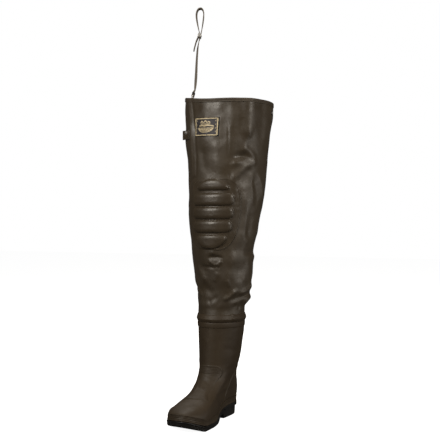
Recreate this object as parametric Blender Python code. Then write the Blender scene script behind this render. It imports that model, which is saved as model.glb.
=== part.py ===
# Hip wader for the right leg, standing empty on its sole.
# Every size below is in millimetres and is turned into metres when a mesh is made.
# The toe points to -Y, the inner side of the leg is +X, and the origin is on the floor
# under the middle of the heel.

import math

import bmesh
import bpy
import numpy as np
from mathutils import Vector

MM = 0.001
GAP = 0.3  # clearance kept between two pieces that touch

# Driving dimensions
SOLE_BACK = 40.0
SOLE_TIP = -250.0
HEEL_HEIGHT = 33.0  # top edge of the sole at the heel
FOREFOOT_THICKNESS = 13.0
TOE_SPRING = 18.5
SPRING_START = -176.0
SPRING_SKEW = 21.0  # the outer side of the toe springs sooner than the inner side
HEEL_BREAST = -54.0
ARCH_HEIGHT = 13.0
ARCH_END = -112.0
BOOT_TOP = 248.0
BOOT_WALL = 3.0
LEG_WALL = 1.8
INSOLE_THICKNESS = 3.0
COLLAR_HEIGHT = 813.0
OUTER_RISE = 16.0  # the collar stands higher on the outer side of the thigh
BACK_DROP = 5.0
INNER_DROP = 2.0
STRAP_WIDTH = 22.0
STRAP_THICKNESS = 1.8

# Plan of the foot: y where the heel gives way to the waist and the waist to the ball
WAIST_OUTER = (-15.0, -150.0)
WAIST_INNER = (-60.0, -160.0)
WAIST_PINCH = 3.5
TOE_SWING = 8.0

# One row for each level of the boot, from the sole's edge to the top of the shaft.
# follow is how much of the sole's curved top edge the level keeps.
BOOT_COLUMNS = (
    "z_back", "z_front", "follow", "y_back", "y_front", "half_heel",
    "half_outer", "half_inner", "round_back", "round_outer", "round_inner", "x_mid",
)
BOOT_LEVELS = (
    (33, 34, 1.0, 37.0, -246.0, 37.0, 54.0, 50.0, 40, 80, 62, 0.0),
    (47, 44, 1.0, 38.0, -247.0, 38.0, 55.5, 51.5, 40, 80, 62, 0.0),
    (61, 50, 0.7, 40.0, -238.0, 39.0, 53.0, 50.5, 40, 76, 60, 0.0),
    (73, 55, 0.4, 40.0, -217.0, 39.5, 45.5, 47.5, 40, 72, 56, 0.0),
    (83, 62, 0.2, 39.5, -182.0, 39.5, 37.5, 43.5, 41, 66, 52, 0.0),
    (93, 70, 0.0, 39.0, -155.0, 39.5, 34.5, 40.5, 43, 60, 52, 0.0),
    (102, 78, 0.0, 38.5, -136.5, 39.5, 34.0, 39.5, 46, 54, 50, 0.0),
    (110, 87, 0.0, 38.5, -119.0, 40.0, 34.5, 40.0, 50, 49, 48, 0.5),
    (118, 98, 0.0, 39.5, -105.0, 41.0, 36.5, 41.0, 56, 50, 50, 1.0),
    (128, 112, 0.0, 41.5, -95.5, 43.5, 39.5, 43.5, 62, 56, 56, 2.0),
    (143, 132, 0.0, 45.0, -90.0, 47.5, 44.5, 48.0, 66, 64, 64, 3.5),
    (165, 160, 0.0, 48.0, -88.5, 51.0, 50.0, 51.0, 67, 67, 67, 5.0),
    (190, 190, 0.0, 49.0, -87.5, 54.0, 54.0, 54.0, 68, 68, 68, 6.0),
    (220, 220, 0.0, 51.0, -86.5, 57.0, 57.0, 57.0, 69, 69, 69, 7.0),
    (248, 248, 0.0, 52.0, -86.0, 59.0, 59.0, 59.0, 69, 69, 69, 7.0),
)

# One row for each section of the leg: height, centre, half width, half depth, squareness
LEG_COLUMNS = ("z", "x", "y", "half_width", "half_depth", "square")
LEG_SECTIONS = (
    (248, 7.0, -17.0, 59.0, 69.0, 2.00),
    (286, 7.0, -15.0, 60.0, 66.0, 2.00),
    (307, 9.0, -11.0, 66.0, 70.0, 2.05),
    (328, 10.5, -8.0, 68.5, 73.0, 2.05),
    (349, 9.5, -8.0, 73.0, 76.0, 2.05),
    (370, 10.0, -8.0, 75.0, 78.0, 2.05),
    (412, 8.0, -9.0, 79.5, 82.0, 2.05),
    (433, 6.5, -9.0, 81.0, 83.5, 2.05),
    (475, 9.0, -6.0, 87.5, 88.0, 2.05),
    (528, 11.0, -3.0, 94.0, 92.0, 2.05),
    (591, 13.0, 2.5, 99.5, 96.0, 2.10),
    (665, 14.0, 6.0, 105.0, 99.0, 2.15),
    (718, 14.0, 7.0, 110.0, 100.0, 2.20),
    (791, 15.0, 13.0, 115.0, 102.0, 2.20),
    (835, 16.0, 13.0, 115.0, 102.0, 2.20),
)

# Main folds of the leg: angle from the inner side, height, half width in degrees,
# half height, depth along the outward normal, lean in degrees a millimetre
FOLD_COLUMNS = ("angle", "z", "spread", "reach", "depth", "lean")
LEG_FOLDS = (
    (207, 735, 4.5, 95, -4.5, -0.02),
    (196, 735, 6.0, 100, 2.0, -0.02),
    (300, 772, 9.0, 34, 2.5, 0.0),
    (311, 669, 10.0, 9, -4.5, 0.15),
    (306, 651, 10.0, 9, 3.5, 0.10),
    (335, 590, 5.0, 40, 2.5, -0.10),
    (281, 402, 8.0, 7, -3.0, 0.0),
    (352, 423, 30.0, 7, -2.5, 0.0),
    (10, 411, 30.0, 7, 2.0, 0.0),
    (190, 328, 26.0, 10, -2.0, 0.0),
    (318, 316, 20.0, 7, -4.0, 0.10),
    (345, 302, 30.0, 9, 5.0, 0.10),
    (80, 300, 45.0, 9, 5.0, 0.0),
    (95, 322, 40.0, 7, -3.5, 0.0),
    (60, 352, 34.0, 8, -3.0, 0.1),
    (120, 470, 26.0, 12, -4.0, 0.15),
    (70, 500, 28.0, 10, -4.0, -0.15),
    (95, 530, 30.0, 12, 3.0, 0.0),
)

# Knee pad: ribs as low and high edge, and half width as an angle
PAD_ANGLE = 272.0
PAD_LOW = 429.0
PAD_HIGH = 614.0
PAD_HALF_ANGLE = 47.0
PAD_BASE = 1.2
PAD_OFF = 1.1
RIB_HEIGHT = 4.2
RIB_BEVEL = 3.5
RIBS = (
    (434.0, 469.5, 28.0),
    (474.5, 505.5, 34.0),
    (509.0, 539.7, 34.5),
    (543.0, 574.5, 33.5),
    (582.0, 608.5, 25.5),
)

MATERIALS = {
    "black rubber": ((0.022, 0.020, 0.018), 0.55, 0.0),
    "brown rubber": ((0.045, 0.034, 0.023), 0.42, 0.0),
    "brown overlay": ((0.050, 0.038, 0.026), 0.45, 0.0),
    "rubberised cloth": ((0.074, 0.056, 0.039), 0.62, 0.0),
    "lining": ((0.16, 0.13, 0.10), 0.9, 0.0),
    "webbing": ((0.10, 0.08, 0.06), 0.8, 0.0),
    "nickel": ((0.60, 0.58, 0.55), 0.3, 1.0),
    "badge": ((0.060, 0.055, 0.050), 0.5, 0.0),
}


# Small tools

def clear_scene():
    for old in list(bpy.data.objects):
        bpy.data.objects.remove(old, do_unlink=True)


def material(name):
    found = bpy.data.materials.get(name)
    if found:
        return found
    colour, roughness, metallic = MATERIALS[name]
    made = bpy.data.materials.new(name)
    made.use_nodes = True
    shader = made.node_tree.nodes["Principled BSDF"]
    shader.inputs["Base Color"].default_value = (*colour, 1.0)
    shader.inputs["Roughness"].default_value = roughness
    shader.inputs["Metallic"].default_value = metallic
    return made


def smooth_step(value):
    value = np.clip(value, 0.0, 1.0)
    return value * value * (3.0 - 2.0 * value)


def rounded(distance, radius):
    """Width factor of an outline at this distance from its end: a quarter ellipse."""
    left = 1.0 - np.clip(distance / radius, 0.0, 1.0)
    return math.sqrt(max(1.0 - left * left, 0.0))


def curve_through(rows, at):
    """Each column of the rows as a smooth curve, read at a place counted in rows."""
    last = len(rows) - 1
    at = min(max(at, 0.0), float(last))
    low = min(int(at), last - 1)
    part = at - low
    p0, p1, p2, p3 = (np.array(rows[min(max(low + k, 0), last)], float) for k in (-1, 0, 1, 2))
    slope_low = (p2 - p0) / 2.0 if low > 0 else p2 - p1
    slope_high = (p3 - p1) / 2.0 if low + 1 < last else p2 - p1
    square = part * part
    cube = square * part
    return (
        (2 * cube - 3 * square + 1) * p1
        + (cube - 2 * square + part) * slope_low
        + (3 * square - 2 * cube) * p2
        + (cube - square) * slope_high
    )


def add_object(name, points, faces, look, smooth=True):
    mesh = bpy.data.meshes.new(name)
    mesh.from_pydata([tuple(np.asarray(p) * MM) for p in points], [], faces)
    shape = bmesh.new()
    shape.from_mesh(mesh)
    bmesh.ops.recalc_face_normals(shape, faces=shape.faces)
    shape.to_mesh(mesh)
    shape.free()
    if smooth:
        mesh.shade_smooth()
        mesh.set_sharp_from_angle(angle=math.radians(35))
    made = bpy.data.objects.new(name, mesh)
    made.data.materials.append(material(look))
    bpy.context.scene.collection.objects.link(made)
    return made


def solid_of_rings(name, rings, look, closed=False):
    """A solid from rings with the same number of points.

    A closed stack joins its last ring to its first. An open one is capped with strips
    between the two sides of its first and last rings, which start at the heel.
    """
    count = len(rings[0])
    points = [p for ring in rings for p in ring]
    faces = []
    steps = len(rings) if closed else len(rings) - 1
    heights = [sum(p[2] for p in ring) for ring in rings]
    for level in range(steps):
        after = (level + 1) % len(rings)
        low = level * count
        high = after * count
        # every quad is split from its lower start to its upper end, so that skins nest
        for i in range(count):
            k = (i + 1) % count
            if heights[after] >= heights[level]:
                faces += [(low + i, low + k, high + k), (low + i, high + k, high + i)]
            else:
                faces += [(low + i, low + k, high + i), (low + k, high + k, high + i)]
    if not closed:
        for start in (0, (len(rings) - 1) * count):
            half = count // 2
            for i in range(half):
                far = [start + (count - i - 1) % count, start + (count - i) % count]
                corners = list(dict.fromkeys([start + i, start + i + 1] + far))
                faces.append(tuple(corners if start else reversed(corners)))
    return add_object(name, points, faces, look)


def solid_patch(name, outer, inner, look):
    """A thin solid between two grids of points that have the same rows and columns."""
    rows = len(outer)
    columns = len(outer[0])
    points = [p for row in outer for p in row] + [p for row in inner for p in row]
    below = rows * columns
    faces = []
    for r in range(rows - 1):
        for c in range(columns - 1):
            a = r * columns + c
            faces.append((a, a + 1, a + columns + 1, a + columns))
            faces.append((below + a, below + a + columns, below + a + columns + 1, below + a + 1))
    rim = [c for c in range(columns)]
    rim += [r * columns + columns - 1 for r in range(1, rows)]
    rim += [(rows - 1) * columns + c for c in range(columns - 2, -1, -1)]
    rim += [r * columns for r in range(rows - 2, 0, -1)]
    for i, a in enumerate(rim):
        b = rim[(i + 1) % len(rim)]
        faces.append((a, a + below, b + below, b))
    return add_object(name, points, faces, look)


def ribbon(name, path, widths, half_width, half_thickness, look):
    """A flat strap along a path. widths gives its width direction at each point."""
    path = [np.array(p, float) for p in path]
    rings = []
    for i, here in enumerate(path):
        ahead = path[min(i + 1, len(path) - 1)]
        behind = path[max(i - 1, 0)]
        along = (ahead - behind) / np.linalg.norm(ahead - behind)
        across = np.array(widths[i], float)
        across -= along * np.dot(across, along)
        across /= np.linalg.norm(across)
        through = np.cross(along, across)
        rings.append([
            here + across * sa * half_width + through * st * half_thickness
            for sa, st in ((-1, -1), (1, -1), (1, 1), (-1, 1))
        ])
    points = [p for ring in rings for p in ring]
    faces = []
    for i in range(len(rings) - 1):
        for k in range(4):
            n = (k + 1) % 4
            faces.append((i * 4 + k, i * 4 + n, i * 4 + 4 + n, i * 4 + 4 + k))
    end = (len(rings) - 1) * 4
    faces.append((3, 2, 1, 0))
    faces.append((end, end + 1, end + 2, end + 3))
    return add_object(name, points, faces, look, smooth=False)


def turned(name, centre, axis, profile, look, sides=12):
    """A small turned piece: profile rows are radius and height along the axis."""
    axis = Vector(axis).normalized()
    turn = axis.to_track_quat("Z", "Y").to_matrix()
    points = []
    for radius, height in profile:
        for i in range(sides):
            a = 2 * math.pi * i / sides
            local = Vector((radius * math.cos(a), radius * math.sin(a), height))
            points.append(np.array(turn @ local) + np.array(centre))
    faces = []
    for r in range(len(profile) - 1):
        for i in range(sides):
            k = (i + 1) % sides
            faces.append((r * sides + i, r * sides + k, (r + 1) * sides + k, (r + 1) * sides + i))
    faces.append(tuple(reversed(range(sides))))
    faces.append(tuple((len(profile) - 1) * sides + i for i in range(sides)))
    return add_object(name, points, faces, look)


# Forms of the foot, from the sole's edge up

def spring(x, y):
    start = SPRING_START - SPRING_SKEW * max(min(x / 50.0, 1.0), -1.0)
    reach = max((start - y) / (start - SOLE_TIP), 0.0)
    return TOE_SPRING * reach ** 1.3


def sole_edge(x, y):
    """Height of the sole's top edge, where the upper stands on it."""
    drop = smooth_step((-25.0 - y) / 135.0)
    return HEEL_HEIGHT - (HEEL_HEIGHT - FOREFOOT_THICKNESS) * drop + spring(x, y)


def sole_bottom(x, y):
    """Height of the sole's underside: heel, arch, flat forefoot and toe spring."""
    rise = smooth_step((HEEL_BREAST - y) / 8.0)
    fall = smooth_step((HEEL_BREAST - 22.0 - y) / (HEEL_BREAST - 22.0 - ARCH_END))
    return ARCH_HEIGHT * rise * (1.0 - fall) + spring(x, y)


def plan_point(turn, y_back, y_front, half_heel, half_outer, half_inner,
               round_back, round_outer, round_inner, x_mid):
    """A point of a foot-shaped outline. turn runs from 0 at the heel, by the outer side."""
    share = (1.0 - math.cos(turn)) / 2.0
    y = y_back + (y_front - y_back) * share
    ball = smooth_step((WAIST_OUTER[0] - y) / (WAIST_OUTER[0] - WAIST_OUTER[1]))
    swing = TOE_SWING * smooth_step((-110.0 - y) / 130.0)
    x = x_mid + swing
    from_back = y_back - y
    from_front = y - y_front
    if math.sin(turn) >= 0.0:
        half = half_heel + (half_outer - half_heel) * ball + swing
        x -= half * rounded(from_back, round_back) * rounded(from_front, round_outer)
    else:
        ball = smooth_step((WAIST_INNER[0] - y) / (WAIST_INNER[0] - WAIST_INNER[1]))
        low = smooth_step((half_inner - half_heel) / 8.0)
        pinch = WAIST_PINCH * low * math.exp(-((y + 75.0) / 40.0) ** 2)
        half = half_heel - pinch + (half_inner - half_heel) * ball - swing
        x += half * rounded(from_back, round_back) * rounded(from_front, round_inner)
    return x, y, share


def boot_surface(turn, level):
    row = dict(zip(BOOT_COLUMNS, curve_through(BOOT_LEVELS, level)))
    x, y, share = plan_point(
        turn, row["y_back"], row["y_front"], row["half_heel"], row["half_outer"],
        row["half_inner"], row["round_back"], row["round_outer"], row["round_inner"],
        row["x_mid"],
    )
    z = row["z_back"] + (row["z_front"] - row["z_back"]) * share
    back = sole_edge(x, row["y_back"])
    front = sole_edge(0.0, row["y_front"])
    z += row["follow"] * (sole_edge(x, y) - back * (1.0 - share) - front * share)
    return np.array((x, y, z))


def boot_point(turn, level, out=0.0):
    """A point of the boot, moved out along the surface's normal."""
    here = boot_surface(turn, level)
    if out == 0.0:
        return here
    top = len(BOOT_LEVELS) - 1
    step = 0.02
    around = boot_surface(turn + step, level) - boot_surface(turn - step, level)
    low = max(level - step, 0.0)
    high = min(level + step, float(top))
    upward = boot_surface(turn, high) - boot_surface(turn, low)
    normal = np.cross(around, upward)
    normal /= np.linalg.norm(normal)
    return here + normal * out


# Forms of the leg

def leg_section(z):
    heights = [row[0] for row in LEG_SECTIONS]
    at = float(np.interp(z, heights, range(len(heights))))
    return dict(zip(LEG_COLUMNS, curve_through(LEG_SECTIONS, at)))


def fold_depth(angle, z):
    total = 0.0
    for values in LEG_FOLDS:
        fold = dict(zip(FOLD_COLUMNS, values))
        off = angle - fold["angle"] - fold["lean"] * (z - fold["z"])
        off = (off + 180.0) % 360.0 - 180.0
        near = (off / fold["spread"]) ** 2 + ((z - fold["z"]) / fold["reach"]) ** 2
        total += fold["depth"] * math.exp(-near)
    return total * float(smooth_step((z - BOOT_TOP - 22.0) / 20.0))


def power(value, exponent):
    return math.copysign(abs(value) ** exponent, value)


def leg_point(angle, z, out=0.0):
    """A point of the leg. angle is in degrees: 0 inner side, 90 back, 180 outer, 270 front."""
    row = leg_section(z)
    a = math.radians(angle)
    bend = 2.0 / row["square"]
    x = row["x"] + row["half_width"] * power(math.cos(a), bend)
    y = row["y"] + row["half_depth"] * power(math.sin(a), bend)
    normal = leg_normal(angle, z)
    return np.array((x, y, z)) + normal * (out + fold_depth(angle, z))


def leg_normal(angle, z):
    row = leg_section(z)
    a = math.radians(angle)
    back = 2.0 - 2.0 / row["square"]
    normal = np.array((
        power(math.cos(a), back) / row["half_width"],
        power(math.sin(a), back) / row["half_depth"],
        0.0,
    ))
    return normal / np.linalg.norm(normal)


def collar_edge(angle):
    """Height of the leg's top edge, which rises on the outer side."""
    outer = max(-math.cos(math.radians(angle)), 0.0)
    inner = max(math.cos(math.radians(angle)), 0.0)
    back = max(math.sin(math.radians(angle)), 0.0)
    return COLLAR_HEIGHT + OUTER_RISE * outer ** 1.5 - INNER_DROP * inner ** 2 - BACK_DROP * back


# Pieces of the foot

SOLE_STATIONS = (
    40, 38.5, 34, 26, 14, 0, -25, -53, -57, -61, -76, -94, -112,
    -135, -158, -180, -198, -214, -228, -239, -246, -249.2, -250,
)
# Side of the sole, from the floor up: inset, share of the height, lift, extra inset of the heel
SOLE_SIDE = (
    (3.0, 0.00, 0.0, 3.0),
    (1.8, 0.00, 1.8, 3.0),
    (1.5, 0.45, 1.0, 2.6),
    (1.4, 0.72, -0.6, 2.4),
    (0.0, 0.72, 0.6, 0.0),
    (0.0, 1.00, -1.6, 0.0),
    (1.0, 1.00, -0.4, 0.0),
)
FOREFOOT_LUGS = 9
HEEL_LUGS = 4
HEEL_GROOVE_BACK = 10.0
LUG_GROOVE = 4.5
LUG_DEPTH = 4.0
LUG_EDGE = 8.0


def sole_plan(turn, inset):
    return plan_point(turn, SOLE_BACK - inset, SOLE_TIP + inset, 40.0 - inset, 58.5 - inset,
                      52.5 - inset, 41.0, 75.0, 62.0, 0.0)


def outsole():
    turns = [math.acos(1.0 - 2.0 * (SOLE_BACK - y) / (SOLE_BACK - SOLE_TIP)) for y in SOLE_STATIONS]
    turns += [2.0 * math.pi - t for t in reversed(turns[1:-1])]
    rings = []
    for inset, share, lift, heel_inset in SOLE_SIDE:
        ring = []
        for turn in turns:
            y_first = sole_plan(turn, inset)[1]
            at_heel = 1.0 - smooth_step((-48.0 - y_first) / 25.0)
            x, y, _ = sole_plan(turn, inset + heel_inset * at_heel)
            low = sole_bottom(x, y)
            ring.append((x, y, low + (sole_edge(x, y) - low) * share + lift))
        rings.append(ring)
    made = solid_of_rings("outsole", rings, "black rubber")
    points = []
    faces = []
    grooves = [(-104.0 - 13.0 * i) for i in range(FOREFOOT_LUGS)]
    grooves += [(HEEL_GROOVE_BACK - 16.0 * i) for i in range(HEEL_LUGS)]
    for y in grooves:
        turn = math.acos(1.0 - 2.0 * (SOLE_BACK - y) / (SOLE_BACK - SOLE_TIP))
        low_x = sole_plan(turn, LUG_EDGE)[0]
        high_x = sole_plan(2.0 * math.pi - turn, LUG_EDGE)[0]
        middle = (low_x + high_x) / 2.0
        roof = [sole_bottom(x, y) + LUG_DEPTH for x in (low_x, middle, high_x)]
        start = len(points)
        for tops in ((-5.0, -5.0, -5.0), roof):
            row = list(zip((low_x, middle, high_x), (0.0, -3.0, 0.0), tops))
            for side, corners in ((-0.5, row), (0.5, row[::-1])):
                for x, bend, z in corners:
                    points.append((x, y + bend + LUG_GROOVE * side, z))
        faces.append(tuple(start + i for i in range(6)))
        faces.append(tuple(start + 6 + i for i in reversed(range(6))))
        for i in range(6):
            k = (i + 1) % 6
            faces.append((start + i, start + 6 + i, start + 6 + k, start + k))
    cutter = add_object("lug-cutter", points, faces, "black rubber", smooth=False)
    cutter.hide_render = True
    cutter.display_type = "WIRE"
    cut = made.modifiers.new("lugs", "BOOLEAN")
    cut.operation = "DIFFERENCE"
    cut.solver = "EXACT"
    cut.object = cutter
    return made


BOOT_AROUND = 28
BOOT_RINGS = (0, 0.55, 1, 1.12, 1.6, 2.2, 2.8, 3.4, 4, 4.6, 5.3, 6, 6.7, 7.4, 8.2, 9, 10, 11, 12.5, 14)


def boot_turns(count=BOOT_AROUND):
    return [2.0 * math.pi * i / count for i in range(count)]


def boot_upper():
    outer = [[boot_point(t, level) for t in boot_turns()] for level in BOOT_RINGS]
    inner = [[boot_point(t, level, -BOOT_WALL) for t in boot_turns()] for level in BOOT_RINGS]
    for ring, height in ((inner[0], None), (inner[-1], BOOT_TOP)):
        for point in ring:
            point[2] = sole_edge(point[0], point[1]) if height is None else height
    return solid_of_rings("boot-upper", outer + inner[::-1], "brown rubber", closed=True)


def insole():
    clearance = BOOT_WALL + 1.1
    rings = []
    for lift in (GAP, INSOLE_THICKNESS):
        ring = []
        for turn in boot_turns(36):
            x, y, _ = plan_point(turn, 37.0 - clearance, -246.0 + clearance, 37.0 - clearance,
                                 54.0 - clearance, 50.0 - clearance, 38.0, 78.0, 58.0, 0.0)
            ring.append((x, y, sole_edge(x, y) + lift))
        rings.append(ring)
    return solid_of_rings("insole", rings, "lining")


def foxing():
    levels = (0.06, 0.55, 1.0)
    thickness = 1.6
    section = [(level, GAP + thickness) for level in levels]
    section += [(level, GAP) for level in reversed(levels)]
    rings = [[boot_point(t, level, out) for t in boot_turns()] for level, out in section]
    return solid_of_rings("foxing", rings, "brown overlay", closed=True)


def side_prism(name, outline):
    """A cutter from an outline seen from the side, as y and z, that runs right across."""
    count = len(outline)
    points = [(x, y, z) for x in (-90.0, 90.0) for y, z in outline]
    faces = [tuple(range(count)), tuple(reversed(range(count, 2 * count)))]
    for i in range(count):
        k = (i + 1) % count
        faces.append((i, i + count, k + count, k))
    cutter = add_object(name + "-cutter", points, faces, "brown overlay", smooth=False)
    cutter.hide_render = True
    cutter.display_type = "WIRE"
    return cutter


def boot_overlay(name, first, last, outline, thickness=1.2):
    """An overlay of the boot: a skin between two offsets of its wall, cut to a side outline."""
    levels = [level for level in BOOT_RINGS if first <= level <= last]
    section = [(level, GAP + thickness) for level in levels]
    section += [(level, GAP) for level in reversed(levels)]
    rings = [[boot_point(t, level, out) for t in boot_turns()] for level, out in section]
    made = solid_of_rings(name, rings, "brown overlay", closed=True)
    cut = made.modifiers.new("outline", "BOOLEAN")
    cut.operation = "INTERSECT"
    cut.solver = "EXACT"
    cut.object = side_prism(name, outline)
    return made


# Outlines of the boot's overlays, seen from the side, as y and z
TOE_CAP_OUTLINE = ((-270, 10), (-207, 10), (-197, 45), (-187, 90), (-270, 90))
COUNTER_OUTLINE = (
    (70, 20), (-66, 20), (-60, 60), (-47, 80), (-28, 100), (-2, 120), (26, 136), (70, 142),
)
INSTEP_OUTLINE = (
    (-180, 78), (-160, 62), (-112, 86), (-86, 104), (-74, 116), (-72, 124), (-76, 133),
    (-83, 139), (-100, 142), (-180, 142),
)


# Pieces of the leg

LEG_AROUND = 36
LEG_RINGS = 22


def leg_angles(count=LEG_AROUND):
    return [360.0 * i / count for i in range(count)]


def leg_upper():
    low = BOOT_TOP + GAP
    outer = []
    inner = []
    for r in range(LEG_RINGS):
        share = r / (LEG_RINGS - 1)
        for rings, out in ((outer, 0.0), (inner, -LEG_WALL)):
            rings.append([
                leg_point(a, low + (collar_edge(a) - low) * share, out) for a in leg_angles()
            ])
    return solid_of_rings("leg-upper", outer + inner[::-1], "rubberised cloth", closed=True)


def leg_band(name, profile, height, look):
    """A band round the leg: profile rows are out from the surface and height."""
    rings = []
    for out, lift in profile:
        rings.append([leg_point(a, height(a) + lift, out) for a in leg_angles()])
    return solid_of_rings(name, rings, look, closed=True)


def cuff_roll():
    profile = ((GAP, 0.0), (2.2, 0.2), (3.4, 3.4), (3.4, 16.2), (2.2, 19.6), (GAP, 20.4))
    return leg_band("cuff-roll", profile, lambda a: BOOT_TOP + GAP, "brown rubber")


def joint_strip():
    """The flat strip under the roll, on the boot's own wall."""
    section = ((13.42, GAP), (13.43, 1.8), (13.91, 1.8), (13.92, GAP))
    rings = [[boot_point(t, level, out) for t in boot_turns()] for level, out in section]
    return solid_of_rings("joint-strip", rings, "brown rubber", closed=True)


def collar_binding():
    inside = -LEG_WALL
    profile = (
        (0.45, -8.0), (1.8, -8.0), (1.3, 1.8), (inside - 1.3, 1.8),
        (inside - 1.8, -8.0), (inside - 0.45, -8.0), (inside - 0.45, 0.4), (0.45, 0.4),
    )
    return leg_band("collar-binding", profile, collar_edge, "brown rubber")


def pad_reach(z):
    """Half width of the pad's base as an angle: a rounded outline, widest at the middle."""
    up = abs((z - (PAD_LOW + PAD_HIGH) / 2.0) / ((PAD_HIGH - PAD_LOW) / 2.0))
    return PAD_HALF_ANGLE * max(1.0 - min(up, 1.0) ** 3.0, 0.1) ** 0.33


def knee_pad():
    """The rubber pad on the knee. Each rib has two rows at its edges and two on its top."""
    rows = [(PAD_LOW, 24.0, False)]
    for low, high, half in RIBS:
        rows += [(low, half, False), (low + RIB_BEVEL, half, True)]
        rows += [(high - RIB_BEVEL, half, True), (high, half, False)]
    rows.append((PAD_HIGH, 20.0, False))
    outer = []
    inner = []
    for z, half, raised in rows:
        bevel = 2.0
        flank = [half - bevel, half, (half + pad_reach(z)) / 2.0, pad_reach(z)]
        spread = [0.0, (half - bevel) / 3.0, (half - bevel) / 1.5] + flank
        offs = [-off for off in spread[:0:-1]] + spread
        top = []
        for off in offs:
            thick = PAD_BASE
            if raised and abs(off) < half - 0.5:
                thick += RIB_HEIGHT
            top.append(leg_point(PAD_ANGLE + off, z, PAD_OFF + thick))
        outer.append(top)
        inner.append([leg_point(PAD_ANGLE + off, z, PAD_OFF) for off in offs])
    return solid_patch("knee-pad", outer, inner, "rubberised cloth")


BADGE_WIDTH = 61.0
BADGE_HEIGHT = 49.0
BADGE_CENTRE = (262.0, 743.0)


def badge():
    angle, height = BADGE_CENTRE
    grids = []
    for out in (GAP + 1.2, GAP):
        grid = []
        for r in range(4):
            z = height + BADGE_HEIGHT * (r / 3.0 - 0.5)
            row = []
            for c in range(7):
                across = BADGE_WIDTH * (c / 6.0 - 0.5)
                off = math.degrees(across / 105.0)
                row.append(leg_point(angle + off, z - across * 0.03, out))
            grid.append(row)
        grids.append(grid)
    return solid_patch("badge", grids[0], grids[1], "badge")


# Strap, its ring and slide, and the small fittings

ANCHOR_ANGLE = 170.0
VIEW_TURN = math.radians(25.0)
STRAP_ACROSS = np.array((math.sin(VIEW_TURN), -math.cos(VIEW_TURN), 0.0))
STRAP_SIDE = np.array((math.cos(VIEW_TURN), math.sin(VIEW_TURN), 0.0))


def anchor_frame():
    """Middle of the collar's edge at the strap, with the outward and the along directions."""
    z = collar_edge(ANCHOR_ANGLE)
    outward = leg_normal(ANCHOR_ANGLE, z)
    along = np.array((-outward[1], outward[0], 0.0))
    return leg_point(ANCHOR_ANGLE, z), outward, along


RING_OUT = 8.0
RING_UP = 8.0
RING_WIDTH = 30.0
RING_HEIGHT = 9.0
RING_WIRE = 1.4
RING_LEAN = math.radians(16.0)
LEAN_UP = STRAP_SIDE * math.sin(RING_LEAN) + np.array((0.0, 0.0, math.cos(RING_LEAN)))
LEAN_OUT = np.array((0.0, 0.0, math.sin(RING_LEAN))) - STRAP_SIDE * math.cos(RING_LEAN)


def ring_bar():
    """Middle of the ring's lower bar."""
    base, outward, _ = anchor_frame()
    return base + outward * RING_OUT + np.array((0.0, 0.0, RING_UP))


def anchor_tab():
    """A webbing tab up over the collar's edge, turned a little and folded round the ring."""
    base, outward, along = anchor_frame()
    half = 1.0
    bend = RING_WIRE + GAP + half + 0.55
    path = []
    for out, up, turn in ((1.4, -36.0, 0.0), (1.4, -16.0, 0.0), (3.6, -10.0, 0.1)):
        path.append((leg_point(ANCHOR_ANGLE, base[2] + up, out), turn))
    for out, up, turn in ((6.8, -4.5, 0.4), (10.2, 1.5, 0.8)):
        path.append((base + outward * out + np.array((0.0, 0.0, up)), turn))
    for i in range(7):
        a = math.radians(180.0 * i / 6.0)
        here = ring_bar() + LEAN_OUT * bend * math.cos(a) + LEAN_UP * bend * math.sin(a)
        path.append((here, 1.0))
    path.append((ring_bar() - LEAN_OUT * bend - LEAN_UP * 2.4, 1.0))
    widths = [along * (1.0 - turn) + STRAP_ACROSS * turn for _, turn in path]
    return ribbon("anchor-tab", [here for here, _ in path], widths, 10.0, half, "webbing")


def wire_loop(name, centre, across, up, width, height, radius, look):
    """A rectangular ring of round wire with rounded corners."""
    corner = 3.0
    points = []
    for sx, sy, first in ((1, 1, 0), (-1, 1, 90), (-1, -1, 180), (1, -1, 270)):
        for i in range(3):
            a = math.radians(first + 45.0 * i)
            x = sx * (width / 2.0 - corner) + corner * math.cos(a)
            y = sy * (height / 2.0 - corner) + corner * math.sin(a)
            points.append(centre + across * x + up * y)
    normal = np.cross(across, up)
    rings = []
    count = len(points)
    for i, here in enumerate(points):
        along = points[(i + 1) % count] - points[i - 1]
        along /= np.linalg.norm(along)
        side = np.cross(along, normal)
        rings.append([
            here + (side * math.cos(a) + normal * math.sin(a)) * radius
            for a in (2.0 * math.pi * k / 7 for k in range(7))
        ])
    return solid_of_rings(name, rings, look, closed=True)


def strap_ring():
    centre = ring_bar() + LEAN_UP * RING_HEIGHT / 2.0
    return wire_loop("strap-ring", centre, STRAP_ACROSS, LEAN_UP, RING_WIDTH, RING_HEIGHT,
                     RING_WIRE, "nickel")


# The strap's route in its own plane: across the view and height. It starts at the ring,
# runs up through the slide, turns over the loop's top and comes down to the free tail.
SLIDE_HEIGHT = 1008.0
STRAP_ROUTE = (
    (-71.5, 874), (-69.8, 900), (-68.0, 940), (-65.6, 972), (-62.2, 992), (-59.6, 1001.5),
    (-56.2, 1014.5), (-52.6, 1029), (-48.5, 1046), (-46.5, 1060), (-47.0, 1070),
    (-50.5, 1077), (-55.5, 1078.5), (-61.0, 1076), (-65.0, 1068), (-66.0, 1056), (-64.8, 1041),
    (-62.6, 1026), (-60.6, 1014.5), (-64.0, 1001.5), (-66.8, 992), (-71.4, 980), (-76.0, 967),
)


def strap_plane_point(side, z, depth):
    return STRAP_SIDE * side + STRAP_ACROSS * depth + np.array((0.0, 0.0, z))


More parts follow.
